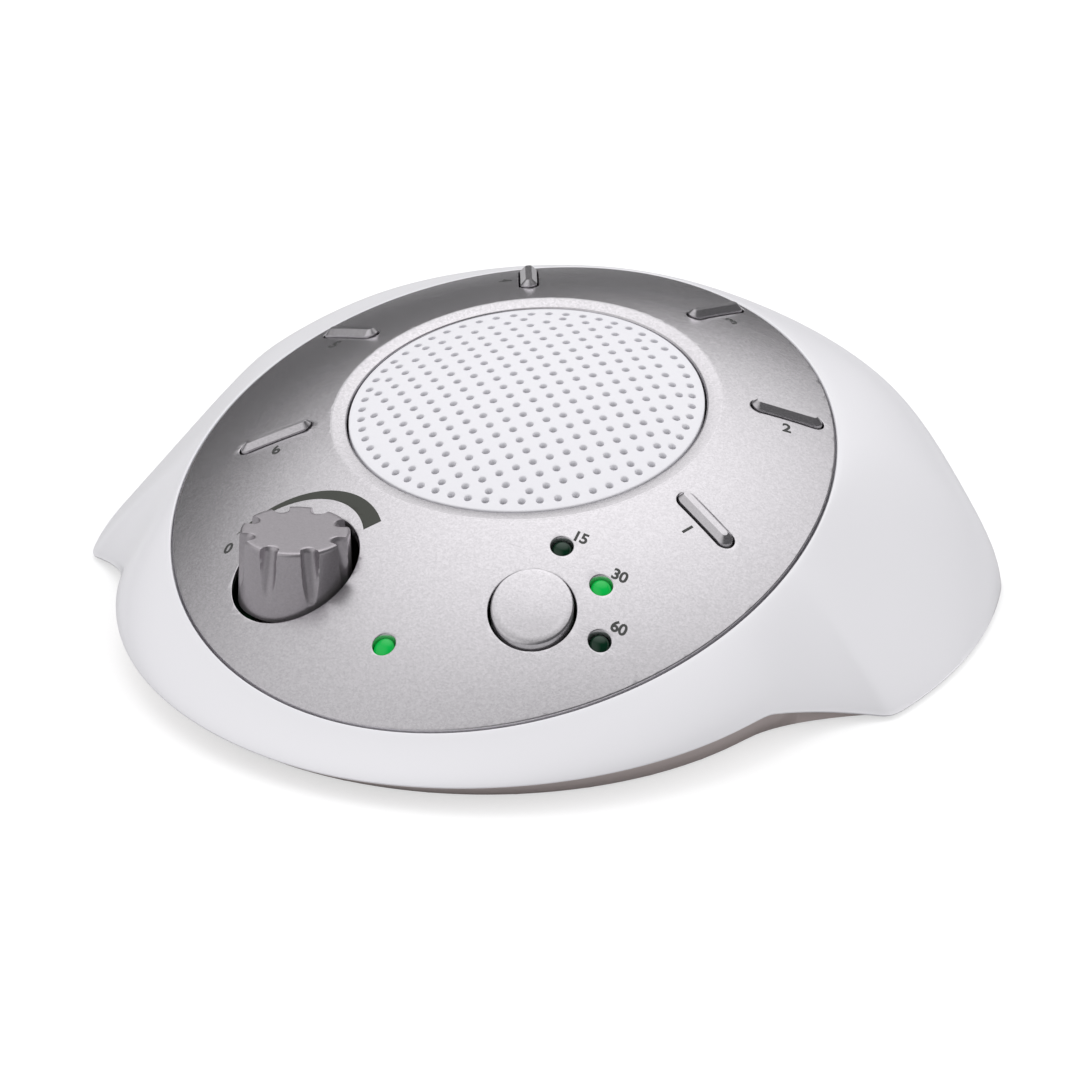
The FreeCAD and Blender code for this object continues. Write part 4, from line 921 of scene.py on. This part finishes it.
# %% Volume wedge
WEDGE_START = 154.0
WEDGE_END = 42.0
WEDGE_RADIUS = 16.9
WEDGE_SWELL = 3.2
WEDGE_STEPS = 48
outer_edge = []
inner_edge = []
for number in range(WEDGE_STEPS + 1):
    share = number / WEDGE_STEPS
    turn = math.radians(WEDGE_START + (WEDGE_END - WEDGE_START) * share)
    outer = WEDGE_RADIUS - 0.9 * share ** 2 + 0.35 * math.sin(math.pi * share)
    inner = outer - 0.1 - WEDGE_SWELL * share ** 0.8
    outer_edge.append((KNOB[0] + outer * math.cos(turn), KNOB[1] + outer * math.sin(turn)))
    inner_edge.append((KNOB[0] + inner * math.cos(turn), KNOB[1] + inner * math.sin(turn)))
wedge = plate("volume_wedge", [outer_edge + inner_edge[::-1]], -INK, 2 * INK, 0.01, cell=2.5, steps=0)
dress(wedge, "black_plastic", "housing", material=OLIVE_INK)

# %% [markdown]
# ## Floor, light and camera
# The floor is plain and pale. The world is a soft tent that is brightest above and behind the machine, so
# the silver panel shades from bright to dark as it curves, as metallic paint does under a large soft box.

# %% Floor
bpy.ops.object.select_all(action="DESELECT")
bpy.ops.mesh.primitive_plane_add(size=12)
floor = bpy.context.object
floor.name = "floor"
floor_paint = bpy.data.materials.new("floor_paint")
floor_paint.use_nodes = True
floor_tree = floor_paint.node_tree
paper = floor_tree.nodes["Principled BSDF"]
paper.inputs["Base Color"].default_value = (0.45, 0.45, 0.455, 1)
paper.inputs["Roughness"].default_value = 0.9
paper.inputs["Specular IOR Level"].default_value = 0.1
rays = add(floor_tree, "LightPath")
paper.inputs["Emission Color"].default_value = (1, 1, 1, 1)
lift = add(floor_tree, "Math", operation="MULTIPLY")
lift.inputs[1].default_value = 0.6
floor_tree.links.new(rays.outputs["Is Camera Ray"], lift.inputs[0])
floor_tree.links.new(lift.outputs[0], paper.inputs["Emission Strength"])
floor.data.materials.append(floor_paint)

# %% [markdown]
# Three parts make the world. Reflections see a tent that is bright in one direction, and a weaker glow in
# front. Diffuse light is nearly even, a little stronger from the sides. The camera sees plain white.

# %% World seen in reflections
world = bpy.data.worlds.new("studio")
bpy.context.scene.world = world
world.use_nodes = True
studio = world.node_tree
links = studio.links
coords = add(studio, "TexCoord")
facing = add(studio, "VectorMath", operation="DOT_PRODUCT")
facing.inputs[1].default_value = Vector((-0.17, 0.47, 0.866)).normalized()
tent = add(studio, "ValToRGB")
tent.color_ramp.elements[0].position = 0.0
tent.color_ramp.elements[0].color = (0.06, 0.06, 0.065, 1)
tent.color_ramp.elements[1].position = 1.0
tent.color_ramp.elements[1].color = (1.0, 1.0, 1.0, 1)
for position, level in ((0.72, 0.045), (0.79, 0.2), (0.83, 0.5), (0.88, 0.66), (0.93, 0.8)):
    stop = tent.color_ramp.elements.new(position)
    stop.color = (level, level, level, 1)
bright = add(studio, "VectorMath", operation="SCALE")
bright.inputs["Scale"].default_value = 1.38
frontal = add(studio, "VectorMath", operation="DOT_PRODUCT")
frontal.inputs[1].default_value = Vector((-0.55, -0.6, 0.58)).normalized()
front_glow = add(studio, "MapRange", interpolation_type="SMOOTHSTEP")
front_glow.inputs["From Min"].default_value = 0.35
front_glow.inputs["To Max"].default_value = 0.75
both = add(studio, "VectorMath", operation="MAXIMUM")
links.new(coords.outputs["Generated"], facing.inputs[0])
links.new(coords.outputs["Generated"], frontal.inputs[0])
links.new(facing.outputs["Value"], tent.inputs["Fac"])
links.new(tent.outputs["Color"], bright.inputs[0])
links.new(frontal.outputs["Value"], front_glow.inputs["Value"])
links.new(bright.outputs["Vector"], both.inputs[0])
links.new(front_glow.outputs["Result"], both.inputs[1])
print("tent stops:", len(tent.color_ramp.elements))

# %% Diffuse light and the white background
parts = add(studio, "SeparateXYZ")
sideways = add(studio, "Math", operation="ABSOLUTE")
wide = add(studio, "Math", operation="MULTIPLY_ADD")
wide.inputs[1].default_value = 0.42
wide.inputs[2].default_value = 0.84
deep = add(studio, "Math", operation="MULTIPLY_ADD")
deep.inputs[1].default_value = 0.16
paths = add(studio, "LightPath")
soft = add(studio, "Mix", data_type="RGBA")
white = add(studio, "Mix", data_type="RGBA")
white.inputs["B"].default_value = (1, 1, 1, 1)
links.new(coords.outputs["Generated"], parts.inputs[0])
links.new(parts.outputs["X"], sideways.inputs[0])
links.new(sideways.outputs[0], wide.inputs[0])
links.new(parts.outputs["Y"], deep.inputs[0])
links.new(wide.outputs[0], deep.inputs[2])
links.new(deep.outputs[0], soft.inputs["A"])
links.new(both.outputs["Vector"], soft.inputs["B"])
links.new(paths.outputs["Is Glossy Ray"], soft.inputs["Factor"])
links.new(paths.outputs["Is Camera Ray"], white.inputs["Factor"])
links.new(soft.outputs["Result"], white.inputs["A"])
links.new(white.outputs["Result"], studio.nodes["Background"].inputs["Color"])

# %% [markdown]
# One soft lamp high at the rear left gives the machine its shadow. It stays out of reflections, where its
# square would show.

# %% Lamp
def soft_box(name, place, size, power):
    """Square area lamp that looks at the machine."""
    bpy.ops.object.light_add(type="AREA", location=place)
    lamp = bpy.context.object
    lamp.name = name
    lamp.data.size = size
    lamp.data.energy = power
    lamp.visible_glossy = False
    lamp.rotation_euler = (Vector((0, 0, 0.02)) - Vector(place)).to_track_quat("-Z", "Y").to_euler()


soft_box("high_box", (-0.35, 0.1, 1.1), 0.7, 2.5)

# %% Camera at the photograph's place
LOOK_AT = Vector((0, -10.45, 21.16))
BACK = Vector((0.3599, -0.8202, 0.4446)).normalized()
RIGHT = Vector((0.9157, 0.4018, 0)).normalized()
UP = BACK.cross(RIGHT).normalized()
DISTANCE = 1129.4
FOCAL_LENGTH = 208.2
camera_data = bpy.data.cameras.new("photo_camera")
camera = bpy.data.objects.new("photo_camera", camera_data)
bpy.context.scene.collection.objects.link(camera)
camera.matrix_world = Matrix.Translation((LOOK_AT + BACK * DISTANCE) * MM) @ Matrix(
    (RIGHT, UP, BACK)).transposed().to_4x4()
camera_data.sensor_width = 36
camera_data.sensor_fit = "HORIZONTAL"
camera_data.lens = FOCAL_LENGTH
camera_data.shift_x = 0.0478
camera_data.shift_y = -0.0121
camera_data.clip_end = 20
bpy.context.scene.camera = camera
print("camera lens:", camera_data.lens)

# %% Colour settings
bpy.context.scene.view_settings.view_transform = "Standard"
